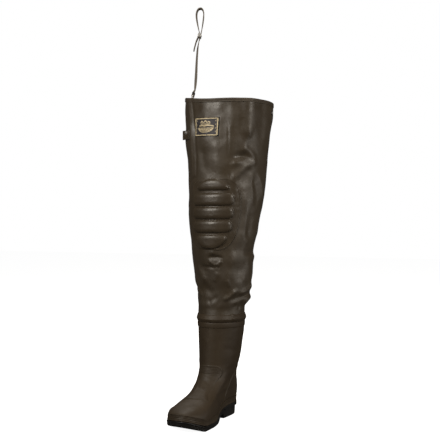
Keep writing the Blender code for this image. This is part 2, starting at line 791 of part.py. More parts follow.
def strap():
    """The webbing: a short end, the turn round the ring's upper bar, and the long run."""
    bar = ring_bar() + LEAN_UP * RING_HEIGHT
    depth = float(np.dot(bar, STRAP_ACROSS))
    bend = RING_WIRE + GAP + STRAP_THICKNESS / 2.0
    points = []
    for out, up in ((1.3, 14.0), (1.3, 6.0), (bend * 0.9, 2.0)):
        points.append(bar + LEAN_OUT * out + LEAN_UP * up)
    for i in range(7):
        a = math.radians(-180.0 * i / 6.0)
        points.append(bar + LEAN_OUT * bend * math.cos(a) + LEAN_UP * bend * math.sin(a))
    for out, up in ((-bend * 0.9, 2.0), (-1.3, 6.0), (-1.3, 14.0)):
        points.append(bar + LEAN_OUT * out + LEAN_UP * up)
    points += [strap_plane_point(side, z, depth) for side, z in STRAP_ROUTE]
    widths = [STRAP_ACROSS] * len(points)
    return ribbon("thigh-strap", points, widths, STRAP_WIDTH / 2.0, STRAP_THICKNESS / 2.0, "webbing")


def frame_box(name, centre, across, through, up, width, depth, height, wall, look, bar=False):
    """A flat rectangular sleeve that a strap runs up through, with an optional middle bar."""
    centre = np.array(centre)
    corners = ((-1, -1), (1, -1), (1, 1), (-1, 1))
    rings = []
    for less, lift in ((0.0, -0.5), (0.0, 0.5), (wall, 0.5), (wall, -0.5)):
        side = across * (width / 2.0 - less)
        front = through * (depth / 2.0 - less)
        rings.append([centre + side * a + front * b + up * lift * height for a, b in corners])
    made = solid_of_rings(name, rings, look, closed=True)
    if bar:
        side = across * (width - wall) / 2.0
        points = [centre + side * a + through * b * 0.5 + up * lift * height
                  for lift in (-0.4, 0.4) for a, b in corners]
        faces = [(3, 2, 1, 0), (4, 5, 6, 7)]
        faces += [(k, (k + 1) % 4, 4 + (k + 1) % 4, 4 + k) for k in range(4)]
        helper = add_object(name + "-bar", points, faces, look, smooth=False)
        helper.hide_render = True
        helper.display_type = "WIRE"
        joined = made.modifiers.new("bar", "BOOLEAN")
        joined.operation = "UNION"
        joined.solver = "EXACT"
        joined.object = helper
    return made


def strap_slide():
    depth = float(np.dot(ring_bar(), STRAP_ACROSS))
    place = strap_plane_point(-60.1, SLIDE_HEIGHT, depth)
    lean = math.atan2(3.4, 13.0)
    up = STRAP_SIDE * math.sin(lean) + np.array((0.0, 0.0, math.cos(lean)))
    through = np.cross(STRAP_ACROSS, up)
    return frame_box("strap-slide", place, STRAP_ACROSS, through, up,
                     STRAP_WIDTH + 6.0, 11.0, 11.0, 1.9, "nickel", bar=True)


def strap_keeper():
    place = ring_bar() + LEAN_UP * (RING_HEIGHT + 9.0)
    return frame_box("strap-keeper", place, STRAP_ACROSS, LEAN_OUT, LEAN_UP,
                     STRAP_WIDTH + 3.6, 8.0, 7.0, 1.4, "black rubber")


SNAP_HEIGHT = 727.0
SNAP_ANGLE = 229.0
SNAP_END = (-101.0, 22.0)  # the tab's free end, across and along the view


def snap_path():
    """Two ends of the tab's middle line: sewn to the leg, and standing clear of it."""
    start = leg_point(SNAP_ANGLE, SNAP_HEIGHT, GAP + 1.3)
    return start, strap_plane_point(SNAP_END[0], SNAP_HEIGHT, SNAP_END[1])


def snap_tab():
    start, end = snap_path()
    path = [leg_point(SNAP_ANGLE + 6.0, SNAP_HEIGHT, GAP + 1.3)]
    path += [start + (end - start) * share for share in (0.0, 0.5, 1.0)]
    up = np.array((0.0, 0.0, 1.0))
    return ribbon("snap-tab", path, [up] * len(path), 12.0, 1.0, "rubberised cloth")


def snap_stud():
    start, end = snap_path()
    along = (end - start) / np.linalg.norm(end - start)
    outward = np.cross(along, np.array((0.0, 0.0, 1.0)))
    outward *= math.copysign(1.0, np.dot(outward, STRAP_ACROSS))
    place = start + (end - start) * 0.3 + outward * (1.0 + GAP) + np.array((0.0, 0.0, 5.5))
    profile = ((4.0, 0.0), (4.0, 0.8), (2.6, 1.2), (2.4, 2.6), (1.4, 3.2))
    return turned("snap-stud", place, outward, profile, "nickel")


def inner_rivet():
    angle, z = 8.0, 785.0
    outward = leg_normal(angle, z)
    place = leg_point(angle, z, GAP)
    profile = ((5.5, 0.2), (5.5, 1.0), (4.2, 2.0), (2.2, 2.2), (1.6, 1.4))
    return turned("inner-rivet", place, outward, profile, "nickel")


def main():
    clear_scene()
    outsole()
    boot_upper()
    insole()
    foxing()
    boot_overlay("toe-cap", 1.12, 4.6, TOE_CAP_OUTLINE)
    boot_overlay("heel-counter", 1.12, 10.0, COUNTER_OUTLINE)
    boot_overlay("instep-overlay", 2.8, 10.0, INSTEP_OUTLINE)
    leg_upper()
    joint_strip()
    cuff_roll()
    collar_binding()
    knee_pad()
    badge()
    anchor_tab()
    strap_ring()
    strap_keeper()
    strap()
    strap_slide()
    snap_tab()
    snap_stud()
    inner_rivet()


main()
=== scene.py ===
# Hip wader for the right leg: the looks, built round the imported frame
import math

import bmesh
import bpy
import numpy as np
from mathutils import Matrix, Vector


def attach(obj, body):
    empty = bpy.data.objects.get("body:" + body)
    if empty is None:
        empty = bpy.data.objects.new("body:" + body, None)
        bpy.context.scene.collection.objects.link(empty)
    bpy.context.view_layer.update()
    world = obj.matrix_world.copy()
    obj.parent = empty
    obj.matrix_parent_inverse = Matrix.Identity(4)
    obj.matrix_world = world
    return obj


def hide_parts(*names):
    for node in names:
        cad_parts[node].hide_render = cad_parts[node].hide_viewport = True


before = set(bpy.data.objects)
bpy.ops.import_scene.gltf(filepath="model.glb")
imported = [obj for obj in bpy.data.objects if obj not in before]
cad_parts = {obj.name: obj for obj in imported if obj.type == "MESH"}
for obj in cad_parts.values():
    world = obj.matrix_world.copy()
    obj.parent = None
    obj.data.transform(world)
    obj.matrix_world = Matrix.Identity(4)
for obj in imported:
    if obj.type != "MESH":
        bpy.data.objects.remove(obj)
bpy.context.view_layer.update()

mm = 0.001


# general shape tools

def smoothStep(value):
    value = np.clip(value, 0.0, 1.0)
    return value * value * (3.0 - 2.0 * value)


def bump(value, width):
    return np.exp(-(value / width) ** 2)


def turnFrom(angle, middle):
    # degrees past the middle, from -180 to 180
    return (angle - middle + 180.0) % 360.0 - 180.0


def ringAngles(count):
    return np.linspace(0, 360, count, endpoint=False)


def ringTurns(count):
    return np.linspace(0, 2 * math.pi, count, endpoint=False)


def throughRows(rows, at):
    # a smooth curve through the rows, read at places counted in rows
    rows = np.array(rows, float)
    last = len(rows) - 1
    at = np.clip(np.asarray(at, float), 0.0, last)
    low = np.minimum(at.astype(int), last - 1)
    part = (at - low)[..., None]
    p0, p1, p2, p3 = (rows[np.clip(low + k, 0, last)] for k in (-1, 0, 1, 2))
    slopeLow = np.where((low > 0)[..., None], (p2 - p0) / 2, p2 - p1)
    slopeHigh = np.where((low + 1 < last)[..., None], (p3 - p1) / 2, p2 - p1)
    square = part * part
    cube = square * part
    return ((2 * cube - 3 * square + 1) * p1 + (cube - 2 * square + part) * slopeLow
            + (3 * square - 2 * cube) * p2 + (cube - square) * slopeHigh)


def softNoise(a, b, cellsA, cellsB, seed, wrap=True):
    # smooth random relief from -1 to 1 on a lattice; a and b run from 0 to 1
    table = np.random.default_rng(seed).uniform(-1, 1, (cellsA + 2, cellsB + 2))
    if wrap:
        table[cellsA:] = table[:2]
    x = np.clip(a, 0, 1) * cellsA
    y = np.clip(b, 0, 1) * cellsB
    i = np.minimum(x.astype(int), cellsA - 1)
    k = np.minimum(y.astype(int), cellsB - 1)
    u = smoothStep(x - i)
    v = smoothStep(y - k)
    low = table[i, k] * (1 - u) + table[i + 1, k] * u
    high = table[i, k + 1] * (1 - u) + table[i + 1, k + 1] * u
    return low * (1 - v) + high * v


def makeObject(name, points, faces, uvs=None, smoothAngle=40):
    mesh = bpy.data.meshes.new(name)
    mesh.from_pydata((np.asarray(points).reshape(-1, 3) * mm).tolist(), [], faces)
    if uvs is not None:
        layer = mesh.uv_layers.new(name="along")
        loops = np.empty(len(mesh.loops), np.int64)
        mesh.loops.foreach_get("vertex_index", loops)
        layer.data.foreach_set("uv", np.asarray(uvs, float).reshape(-1, 2)[loops].ravel())
    shape = bmesh.new()
    shape.from_mesh(mesh)
    bmesh.ops.recalc_face_normals(shape, faces=shape.faces)
    shape.to_mesh(mesh)
    shape.free()
    mesh.shade_smooth()
    if smoothAngle:
        mesh.set_sharp_from_angle(angle=math.radians(smoothAngle))
    made = bpy.data.objects.new(name, mesh)
    bpy.context.scene.collection.objects.link(made)
    return made


def gridFaces(rows, columns, wrapRows=False, wrapColumns=False):
    r = np.arange(rows if wrapRows else rows - 1)[:, None]
    c = np.arange(columns if wrapColumns else columns - 1)[None, :]
    right = (c + 1) % columns
    above = (r + 1) % rows
    faces = np.stack([r * columns + c, r * columns + right, above * columns + right,
                      above * columns + c], axis=-1)
    return faces.reshape(-1, 4).tolist()


def closeEnds(faces, rows, columns):
    faces.append(list(range(columns))[::-1])
    faces.append([(rows - 1) * columns + k for k in range(columns)])


def closeFlat(faces, start, count):
    # strips from side to side over a ring that begins at the heel
    for i in range(count // 2):
        far = [start + (count - i - 1) % count, start + (count - i) % count]
        faces.append(list(dict.fromkeys([start + i, start + i + 1] + far)))


def gridObject(name, grid, wrapRows=False, wrapColumns=False, uvs=None, smoothAngle=40):
    rows, columns = grid.shape[:2]
    faces = gridFaces(rows, columns, wrapRows, wrapColumns)
    return makeObject(name, grid, faces, uvs, smoothAngle)


def skin(name, rings):
    # an open tube round the leg or the foot, smooth all over
    return gridObject(name, np.array(rings), wrapColumns=True, smoothAngle=None)


def sweep(name, path, across, section, closed=False):
    # carries a cross-section along a path; section rows are across and through, in mm
    path = np.array(path, float)
    across = np.array(across, float)
    if closed:
        along = np.roll(path, -1, axis=0) - np.roll(path, 1, axis=0)
    else:
        along = np.gradient(path, axis=0)
    along /= np.linalg.norm(along, axis=1)[:, None]
    across = across - along * np.sum(across * along, axis=1)[:, None]
    across /= np.linalg.norm(across, axis=1)[:, None]
    through = np.cross(along, across)
    section = np.array(section, float)
    grid = (path[:, None] + across[:, None] * section[None, :, :1]
            + through[:, None] * section[None, :, 1:])
    steps = np.concatenate([[0], np.cumsum(np.linalg.norm(np.diff(path, axis=0), axis=1))])
    uvs = np.stack(np.broadcast_arrays(steps[:, None], section[None, :, 0]), -1)
    rows, columns = grid.shape[:2]
    faces = gridFaces(rows, columns, closed, True)
    if not closed:
        closeEnds(faces, rows, columns)
    return makeObject(name, grid, faces, uvs)


def roundedBar(width, thickness, corner, steps=3):
    # outline of a flat bar with rounded edges
    rows = []
    for sx, sy, start in ((1, -1, -90), (1, 1, 0), (-1, 1, 90), (-1, -1, 180)):
        for i in range(steps + 1):
            a = math.radians(start + 90.0 * i / steps)
            rows.append((sx * (width / 2 - corner) + corner * math.cos(a),
                         sy * (thickness / 2 - corner) + corner * math.sin(a)))
    return rows


def circle(radius, count=14):
    turns = [2 * math.pi * i / count for i in range(count)]
    return [(radius * math.cos(turn), radius * math.sin(turn)) for turn in turns]


def polygonDepth(y, z, outline):
    # distance inside an outline seen from the side, negative outside
    outline = np.array(outline, float)
    nearest = np.full(y.shape, 1e9)
    inside = np.zeros(y.shape, bool)
    for (y0, z0), (y1, z1) in zip(outline, np.roll(outline, -1, axis=0)):
        edge = np.array((y1 - y0, z1 - z0))
        share = np.clip(((y - y0) * edge[0] + (z - z0) * edge[1]) / edge.dot(edge), 0, 1)
        nearest = np.minimum(nearest, np.hypot(y - y0 - share * edge[0], z - z0 - share * edge[1]))
        crosses = (z0 > z) != (z1 > z)
        with np.errstate(divide="ignore", invalid="ignore"):
            where = y0 + (z - z0) * edge[0] / (edge[1] if edge[1] else 1e-9)
        inside ^= crosses & (y < where)
    return np.where(inside, nearest, -nearest)


def place(obj, look, node):
    # gives a piece its look and its slot, and hides the CAD node that it stands for
    obj.data.materials.clear()
    obj.data.materials.append(look)
    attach(obj, "root")
    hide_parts(node)


# materials

def newLook(name):
    look = bpy.data.materials.new(name)
    look.use_nodes = True
    nodes = look.node_tree.nodes
    return look, nodes, look.node_tree.links, nodes["Principled BSDF"]


def noiseNode(nodes, links, coords, scale, detail=4.0, stretch=None, roughness=0.55):
    source = coords
    if stretch:
        mapping = nodes.new("ShaderNodeMapping")
        mapping.inputs["Scale"].default_value = stretch
        links.new(coords, mapping.inputs["Vector"])
        source = mapping.outputs["Vector"]
    made = nodes.new("ShaderNodeTexNoise")
    made.inputs["Scale"].default_value = scale
    made.inputs["Detail"].default_value = detail
    made.inputs["Roughness"].default_value = roughness
    links.new(source, made.inputs["Vector"])
    return made.outputs["Fac"]


def rampNode(nodes, links, value, stops):
    made = nodes.new("ShaderNodeValToRGB")
    made.color_ramp.elements[0].position = stops[0][0]
    made.color_ramp.elements[0].color = (*stops[0][1], 1)
    made.color_ramp.elements[1].position = stops[-1][0]
    made.color_ramp.elements[1].color = (*stops[-1][1], 1)
    for position, colour in stops[1:-1]:
        made.color_ramp.elements.new(position).color = (*colour, 1)
    links.new(value, made.inputs["Fac"])
    return made.outputs["Color"]


def rangeNode(nodes, links, value, low, high):
    made = nodes.new("ShaderNodeMapRange")
    made.inputs["From Min"].default_value = 0.3
    made.inputs["From Max"].default_value = 0.7
    made.inputs["To Min"].default_value = low
    made.inputs["To Max"].default_value = high
    links.new(value, made.inputs["Value"])
    return made.outputs["Result"]


def bumpNode(nodes, links, height, strength, distance, before=None):
    made = nodes.new("ShaderNodeBump")
    made.inputs["Strength"].default_value = strength
    made.inputs["Distance"].default_value = distance
    links.new(height, made.inputs["Height"])
    if before:
        links.new(before, made.inputs["Normal"])
    return made.outputs["Normal"]


def mixNode(nodes, links, share, first, second):
    made = nodes.new("ShaderNodeMix")
    made.data_type = "RGBA"
    links.new(share, made.inputs["Factor"])
    for socket, value in ((made.inputs["A"], first), (made.inputs["B"], second)):
        if isinstance(value, tuple):
            socket.default_value = (*value, 1)
        else:
            links.new(value, socket)
    return made.outputs["Result"]


rubberStops = (0.30, 0.55, 0.75)
clothStops = (0.28, 0.50, 0.74)


def rubberLook(name, s):
    # moulded or dipped rubber: blotches, soft ripples, fine grain and patches of dust
    look, nodes, links, shader = newLook(name)
    coords = nodes.new("ShaderNodeTexCoord").outputs["Object"]
    blotch = noiseNode(nodes, links, coords, s["blotchScale"], 3.0, s.get("stretch"))
    colour = rampNode(nodes, links, blotch, list(zip(rubberStops, s["colours"])))
    if "dust" in s:
        speck = noiseNode(nodes, links, coords, s["dustScale"], 6.0)
        dusty = ((s["dustFrom"], (0, 0, 0)), (s["dustFrom"] + 0.14, (1, 1, 1)))
        share = rampNode(nodes, links, speck, dusty)
        colour = mixNode(nodes, links, share, colour, s["dust"])
    links.new(colour, shader.inputs["Base Color"])
    gloss = noiseNode(nodes, links, coords, s["glossScale"], 4.0)
    links.new(rangeNode(nodes, links, gloss, *s["roughness"]), shader.inputs["Roughness"])
    grain = noiseNode(nodes, links, coords, s["grainScale"], 3.0)
    ripple = noiseNode(nodes, links, coords, s["rippleScale"], 2.0)
    normal = bumpNode(nodes, links, ripple, 1.0, s["rippleDepth"])
    normal = bumpNode(nodes, links, grain, 1.0, s["grainDepth"], normal)
    links.new(normal, shader.inputs["Normal"])
    shader.inputs["Specular IOR Level"].default_value = s["specular"]
    return look


def clothLook(name, s):
    # coated cloth: a faint weave under the coating, soft wrinkles and blotches
    look, nodes, links, shader = newLook(name)
    coords = nodes.new("ShaderNodeTexCoord").outputs["Object"]
    blotch = noiseNode(nodes, links, coords, s["blotchScale"], 5.0, s.get("stretch"))
    colour = rampNode(nodes, links, blotch, list(zip(clothStops, s["colours"])))
    links.new(colour, shader.inputs["Base Color"])
    gloss = noiseNode(nodes, links, coords, s["glossScale"], 4.0)
    links.new(rangeNode(nodes, links, gloss, *s["roughness"]), shader.inputs["Roughness"])
    crinkle = noiseNode(nodes, links, coords, s["crinkleScale"], 4.0, None, 0.6)
    normal = bumpNode(nodes, links, crinkle, 1.0, s["crinkleDepth"])
    weave = nodes.new("ShaderNodeTexVoronoi")
    weave.inputs["Scale"].default_value = s["weaveScale"]
    links.new(coords, weave.inputs["Vector"])
    normal = bumpNode(nodes, links, weave.outputs["Distance"], 1.0, s["weaveDepth"], normal)
    links.new(normal, shader.inputs["Normal"])
    shader.inputs["Specular IOR Level"].default_value = s["specular"]
    shader.inputs["Sheen Weight"].default_value = s.get("sheen", 0.0)
    shader.inputs["Sheen Roughness"].default_value = 0.5
    return look


def webbingLook(name, s):
    # woven tape: ribs across it and a herringbone of threads along it
    look, nodes, links, shader = newLook(name)
    uv = nodes.new("ShaderNodeUVMap")
    uv.uv_map = "along"
    ribs = nodes.new("ShaderNodeTexWave")
    ribs.bands_direction = "X"
    ribs.inputs["Scale"].default_value = s["ribScale"]
    ribs.inputs["Distortion"].default_value = 0.6
    links.new(uv.outputs["UV"], ribs.inputs["Vector"])
    threads = nodes.new("ShaderNodeTexWave")
    threads.bands_direction = "Y"
    threads.inputs["Scale"].default_value = s["threadScale"]
    threads.inputs["Distortion"].default_value = 1.2
    links.new(uv.outputs["UV"], threads.inputs["Vector"])
    colour = rampNode(nodes, links, threads.outputs["Fac"], s["colours"])
    links.new(colour, shader.inputs["Base Color"])
    normal = bumpNode(nodes, links, ribs.outputs["Fac"], 1.0, s["ribDepth"])
    normal = bumpNode(nodes, links, threads.outputs["Fac"], 1.0, s["threadDepth"], normal)
    links.new(normal, shader.inputs["Normal"])
    shader.inputs["Roughness"].default_value = 0.78
    shader.inputs["Sheen Weight"].default_value = 0.3
    return look


def metalLook(name, colour, roughness):
    look, nodes, links, shader = newLook(name)
    coords = nodes.new("ShaderNodeTexCoord").outputs["Object"]
    wear = noiseNode(nodes, links, coords, 900.0, 3.0)
    dark = tuple(c * 0.62 for c in colour)
    tone = rampNode(nodes, links, wear, ((0.35, dark), (0.6, colour)))
    links.new(tone, shader.inputs["Base Color"])
    links.new(rangeNode(nodes, links, wear, roughness * 1.5, roughness), shader.inputs["Roughness"])
    links.new(bumpNode(nodes, links, wear, 0.5, 0.0001), shader.inputs["Normal"])
    shader.inputs["Metallic"].default_value = 0.75
    return look


bootRubber = rubberLook("bootRubber", {
    "colours": ((0.038, 0.0262, 0.0150), (0.046, 0.0322, 0.0188), (0.056, 0.0400, 0.0242)),
    "blotchScale": 14.0, "stretch": (1.0, 1.0, 0.5),
    "glossScale": 26.0, "roughness": (0.46, 0.58),
    "rippleScale": 34.0, "rippleDepth": 0.0012,
    "grainScale": 900.0, "grainDepth": 0.00006, "specular": 0.34,
})
overlayRubber = rubberLook("overlayRubber", {
    "colours": ((0.037, 0.0258, 0.0150), (0.044, 0.0312, 0.0185), (0.053, 0.0382, 0.0233)),
    "blotchScale": 18.0, "glossScale": 30.0, "roughness": (0.48, 0.60),
    "rippleScale": 46.0, "rippleDepth": 0.0009,
    "grainScale": 1000.0, "grainDepth": 0.00007, "specular": 0.34,
})
soleRubber = rubberLook("soleRubber", {
    "colours": ((0.0085, 0.0078, 0.0070), (0.013, 0.0120, 0.0105), (0.020, 0.0180, 0.0155)),
    "blotchScale": 40.0, "glossScale": 60.0, "roughness": (0.26, 0.62),
    "rippleScale": 70.0, "rippleDepth": 0.0024,
    "grainScale": 1200.0, "grainDepth": 0.0001, "specular": 0.45,
    "dust": (0.046, 0.042, 0.037), "dustScale": 75.0, "dustFrom": 0.62,
})
legCloth = clothLook("legCloth", {
    "colours": ((0.039, 0.0275, 0.0155), (0.049, 0.0352, 0.0205), (0.062, 0.0458, 0.0280)),
    "blotchScale": 9.0, "stretch": (1.0, 1.0, 0.6),
    "glossScale": 30.0, "roughness": (0.36, 0.58),
    "crinkleScale": 42.0, "crinkleDepth": 0.0009,
    "weaveScale": 950.0, "weaveDepth": 0.00005, "specular": 0.55, "sheen": 0.03,
})
padRubber = clothLook("padRubber", {
    "colours": ((0.038, 0.0268, 0.0152), (0.046, 0.0330, 0.0193), (0.056, 0.0412, 0.0250)),
    "blotchScale": 16.0,
    "glossScale": 24.0, "roughness": (0.34, 0.44),
    "crinkleScale": 55.0, "crinkleDepth": 0.0006,
    "weaveScale": 1000.0, "weaveDepth": 0.00004, "specular": 0.55, "sheen": 0.02,
})
bindingRubber = rubberLook("bindingRubber", {
    "colours": ((0.052, 0.0395, 0.0265), (0.064, 0.0490, 0.0335), (0.078, 0.061, 0.043)),
    "blotchScale": 30.0, "glossScale": 30.0, "roughness": (0.50, 0.64),
    "rippleScale": 70.0, "rippleDepth": 0.0008,
    "grainScale": 900.0, "grainDepth": 0.00008, "specular": 0.40,
})
liningCloth = clothLook("liningCloth", {
    "colours": ((0.11, 0.090, 0.068), (0.14, 0.115, 0.088), (0.17, 0.142, 0.110)),
    "blotchScale": 12.0, "glossScale": 20.0, "roughness": (0.85, 0.95),
    "crinkleScale": 60.0, "crinkleDepth": 0.0010,
    "weaveScale": 650.0, "weaveDepth": 0.00035, "specular": 0.15, "sheen": 0.25,
})
strapWebbing = webbingLook("strapWebbing", {
    "colours": ((0.2, (0.125, 0.102, 0.076)), (0.8, (0.215, 0.178, 0.136))),
    "ribScale": 0.25, "threadScale": 0.28, "ribDepth": 0.00025, "threadDepth": 0.00012,
})
nickel = metalLook("nickel", (0.80, 0.78, 0.74), 0.32)
slate = clothLook("slate", {
    "colours": ((0.018, 0.016, 0.018), (0.034, 0.030, 0.034), (0.052, 0.046, 0.050)),
    "blotchScale": 120.0, "glossScale": 60.0, "roughness": (0.50, 0.60),
    "crinkleScale": 200.0, "crinkleDepth": 0.0002,
    "weaveScale": 1100.0, "weaveDepth": 0.00006, "specular": 0.35,
})
blackEdge = rubberLook("blackEdge", {
    "colours": ((0.004, 0.004, 0.004), (0.006, 0.006, 0.0055), (0.010, 0.009, 0.008)),
    "blotchScale": 60.0, "glossScale": 60.0, "roughness": (0.5, 0.6),
    "rippleScale": 200.0, "rippleDepth": 0.0001,
    "grainScale": 1200.0, "grainDepth": 0.00005, "specular": 0.3,
})
goldPrint = clothLook("goldPrint", {
    "colours": ((0.44, 0.350, 0.200), (0.60, 0.490, 0.300), (0.74, 0.620, 0.400)),
    "blotchScale": 160.0, "glossScale": 90.0, "roughness": (0.42, 0.55),
    "crinkleScale": 220.0, "crinkleDepth": 0.0002,
    "weaveScale": 1200.0, "weaveDepth": 0.00006, "specular": 0.45,
})
thread = clothLook("thread", {
    "colours": ((0.040, 0.031, 0.022), (0.055, 0.043, 0.031), (0.07, 0.055, 0.04)),
    "blotchScale": 300.0, "glossScale": 90.0, "roughness": (0.6, 0.7),
    "crinkleScale": 900.0, "crinkleDepth": 0.0001,
    "weaveScale": 1500.0, "weaveDepth": 0.00005, "specular": 0.35,
})
print("materials ready")


# forms of the foot, in mm, the same as the frame's

sole = {
    "back": 40.0, "tip": -250.0, "heelHeight": 33.0, "forefoot": 13.0,
    "toeSpring": 18.5, "springStart": -176.0, "springSkew": 21.0,
    "heelBreast": -54.0, "archHeight": 13.0, "archEnd": -112.0,
    "heel": 40.0, "outer": 58.5, "inner": 52.5, "rounding": (41.0, 75.0, 62.0),
}
bootLevels = (  # zBack, zFront, follow, yBack, yFront, heel, outer, inner, 3 roundings, xMid
    (33, 34, 1.0, 37.0, -246.0, 37.0, 54.0, 50.0, 40, 80, 62, 0.0),
    (47, 44, 1.0, 38.0, -247.0, 38.0, 55.5, 51.5, 40, 80, 62, 0.0),
    (61, 50, 0.7, 40.0, -238.0, 39.0, 53.0, 50.5, 40, 76, 60, 0.0),
    (73, 55, 0.4, 40.0, -217.0, 39.5, 45.5, 47.5, 40, 72, 56, 0.0),
    (83, 62, 0.2, 39.5, -182.0, 39.5, 37.5, 43.5, 41, 66, 52, 0.0),
    (93, 70, 0.0, 39.0, -155.0, 39.5, 34.5, 40.5, 43, 60, 52, 0.0),
    (102, 78, 0.0, 38.5, -136.5, 39.5, 34.0, 39.5, 46, 54, 50, 0.0),
    (110, 87, 0.0, 38.5, -119.0, 40.0, 34.5, 40.0, 50, 49, 48, 0.5),
    (118, 98, 0.0, 39.5, -105.0, 41.0, 36.5, 41.0, 56, 50, 50, 1.0),
    (128, 112, 0.0, 41.5, -95.5, 43.5, 39.5, 43.5, 62, 56, 56, 2.0),
    (143, 132, 0.0, 45.0, -90.0, 47.5, 44.5, 48.0, 66, 64, 64, 3.5),
    (165, 160, 0.0, 48.0, -88.5, 51.0, 50.0, 51.0, 67, 67, 67, 5.0),
    (190, 190, 0.0, 49.0, -87.5, 54.0, 54.0, 54.0, 68, 68, 68, 6.0),
    (220, 220, 0.0, 51.0, -86.5, 57.0, 57.0, 57.0, 69, 69, 69, 7.0),
    (248, 248, 0.0, 52.0, -86.0, 59.0, 59.0, 59.0, 69, 69, 69, 7.0),
)


def spring(x, y):
    start = sole["springStart"] - sole["springSkew"] * np.clip(x / 50.0, -1.0, 1.0)
    reach = np.maximum((start - y) / (start - sole["tip"]), 0.0)
    return sole["toeSpring"] * reach ** 1.3


def soleEdge(x, y):
    drop = smoothStep((-25.0 - y) / 135.0)
    return sole["heelHeight"] - (sole["heelHeight"] - sole["forefoot"]) * drop + spring(x, y)


def soleBottom(x, y):
    rise = smoothStep((sole["heelBreast"] - y) / 8.0)
    archTop = sole["heelBreast"] - 22.0
    fall = smoothStep((archTop - y) / (archTop - sole["archEnd"]))
    return sole["archHeight"] * rise * (1.0 - fall) + spring(x, y)


def roundedEnd(distance, radius):
    left = 1.0 - np.clip(distance / radius, 0.0, 1.0)
    return np.sqrt(np.maximum(1.0 - left * left, 0.0))


def footPlan(turn, yBack, yFront, heel, outer, inner, roundBack, roundOuter, roundInner, xMid):
    share = (1.0 - np.cos(turn)) / 2.0
    y = yBack + (yFront - yBack) * share
    swing = 8.0 * smoothStep((-110.0 - y) / 130.0)
    ballOut = smoothStep((-15.0 - y) / 135.0)
    ballIn = smoothStep((-60.0 - y) / 100.0)
    pinch = 3.5 * smoothStep((inner - heel) / 8.0) * bump(y + 75.0, 40.0)
    halfOut = heel + (outer - heel) * ballOut + swing
    halfIn = heel - pinch + (inner - heel) * ballIn - swing
    back = roundedEnd(yBack - y, roundBack)
    outside = np.sin(turn) >= 0.0
    x = np.where(outside, -halfOut * back * roundedEnd(y - yFront, roundOuter),
                 halfIn * back * roundedEnd(y - yFront, roundInner))
    return x + xMid + swing, y, share


def bootSurface(turn, level):
    turn, level = np.broadcast_arrays(np.asarray(turn, float), np.asarray(level, float))
    row = np.moveaxis(throughRows(bootLevels, level), -1, 0)
    x, y, share = footPlan(turn, *row[3:])
    z = row[0] + (row[1] - row[0]) * share
    back = soleEdge(x, row[3])
    front = soleEdge(0.0, row[4])
    z = z + row[2] * (soleEdge(x, y) - back * (1.0 - share) - front * share)
    return np.stack((x, y, z), axis=-1)


def bootPoint(turn, level, out):
    turn, level = np.broadcast_arrays(np.asarray(turn, float), np.asarray(level, float))
    top = len(bootLevels) - 1
    near = 0.02
    around = bootSurface(turn + near, level) - bootSurface(turn - near, level)
    above = bootSurface(turn, np.minimum(level + near, top))
    normal = np.cross(around, above - bootSurface(turn, np.maximum(level - near, 0)))
    normal /= np.linalg.norm(normal, axis=-1)[..., None]
    return bootSurface(turn, level) + normal * np.broadcast_to(out, turn.shape)[..., None]


def bootRelief(turn, level):
    # soft unevenness of the dipped rubber, and the flex folds over the ball and the ankle
    here = bootSurface(turn, level)
    y, z = here[..., 1], here[..., 2]
    around = (np.asarray(turn) / (2 * math.pi)) % 1.0 + 0 * y
    up = np.asarray(level) / 14.0 + 0 * y
    relief = 0.35 * softNoise(around, up, 9, 8, 3) + 0.16 * softNoise(around, up, 26, 24, 4)
    for row in bootCreases:
        relief = relief + creaseDepth(around * 360.0, z + 0.0 * y, row, shaftRadius)
    # none under the foxing band or the rolled band
    return relief * smoothStep((up * 14.0 - 1.1) / 1.0) * smoothStep((13.4 - up * 14.0) / 0.8)


shaftRadius = 55.0
bootCreases = (  # angle, z, angle, z, bow, width, depth
    (160, 86, 196, 79, 3.0, 3.0, -0.9),
    (164, 93, 200, 86, 3.0, 3.2, 0.7),
    (156, 100, 196, 95, 3.0, 3.4, -0.9),
    (150, 108, 200, 104, 3.0, 3.8, 0.7),
    (140, 116, 205, 112, 3.0, 4.0, -0.7),
    (60, 132, 130, 126, 5.0, 7.0, -1.1),
    (50, 146, 140, 140, 5.0, 8.0, 0.9),
    (225, 120, 300, 128, 5.0, 7.0, -0.9),
    (215, 176, 262, 168, 6.0, 8.0, -0.6),
    (150, 206, 176, 190, 4.0, 7.0, 0.6),
)


def creaseDepth(angle, z, row, radius):
    # a trough or a ridge from one place to another, measured in mm on the opened-out wall
    angle0, z0, angle1, z1, bow, width, depth = row
    middle = (angle0 + angle1) / 2.0
    scale = radius * math.pi / 180.0
    a = turnFrom(angle, middle) * scale
    start = np.array(((angle0 - middle) * scale, z0))
    end = np.array(((angle1 - middle) * scale, z1))
    length = np.linalg.norm(end - start)
    along = (end - start) / length
    t = ((a - start[0]) * along[0] + (z - start[1]) * along[1]) / length
    off = -(a - start[0]) * along[1] + (z - start[1]) * along[0]
    off = off - bow * 4.0 * t * (1.0 - t)
    ends = smoothStep((t + 0.08) / 0.33) * smoothStep((1.08 - t) / 0.33)
    return depth * ends * bump(off, width)


# forms of the leg

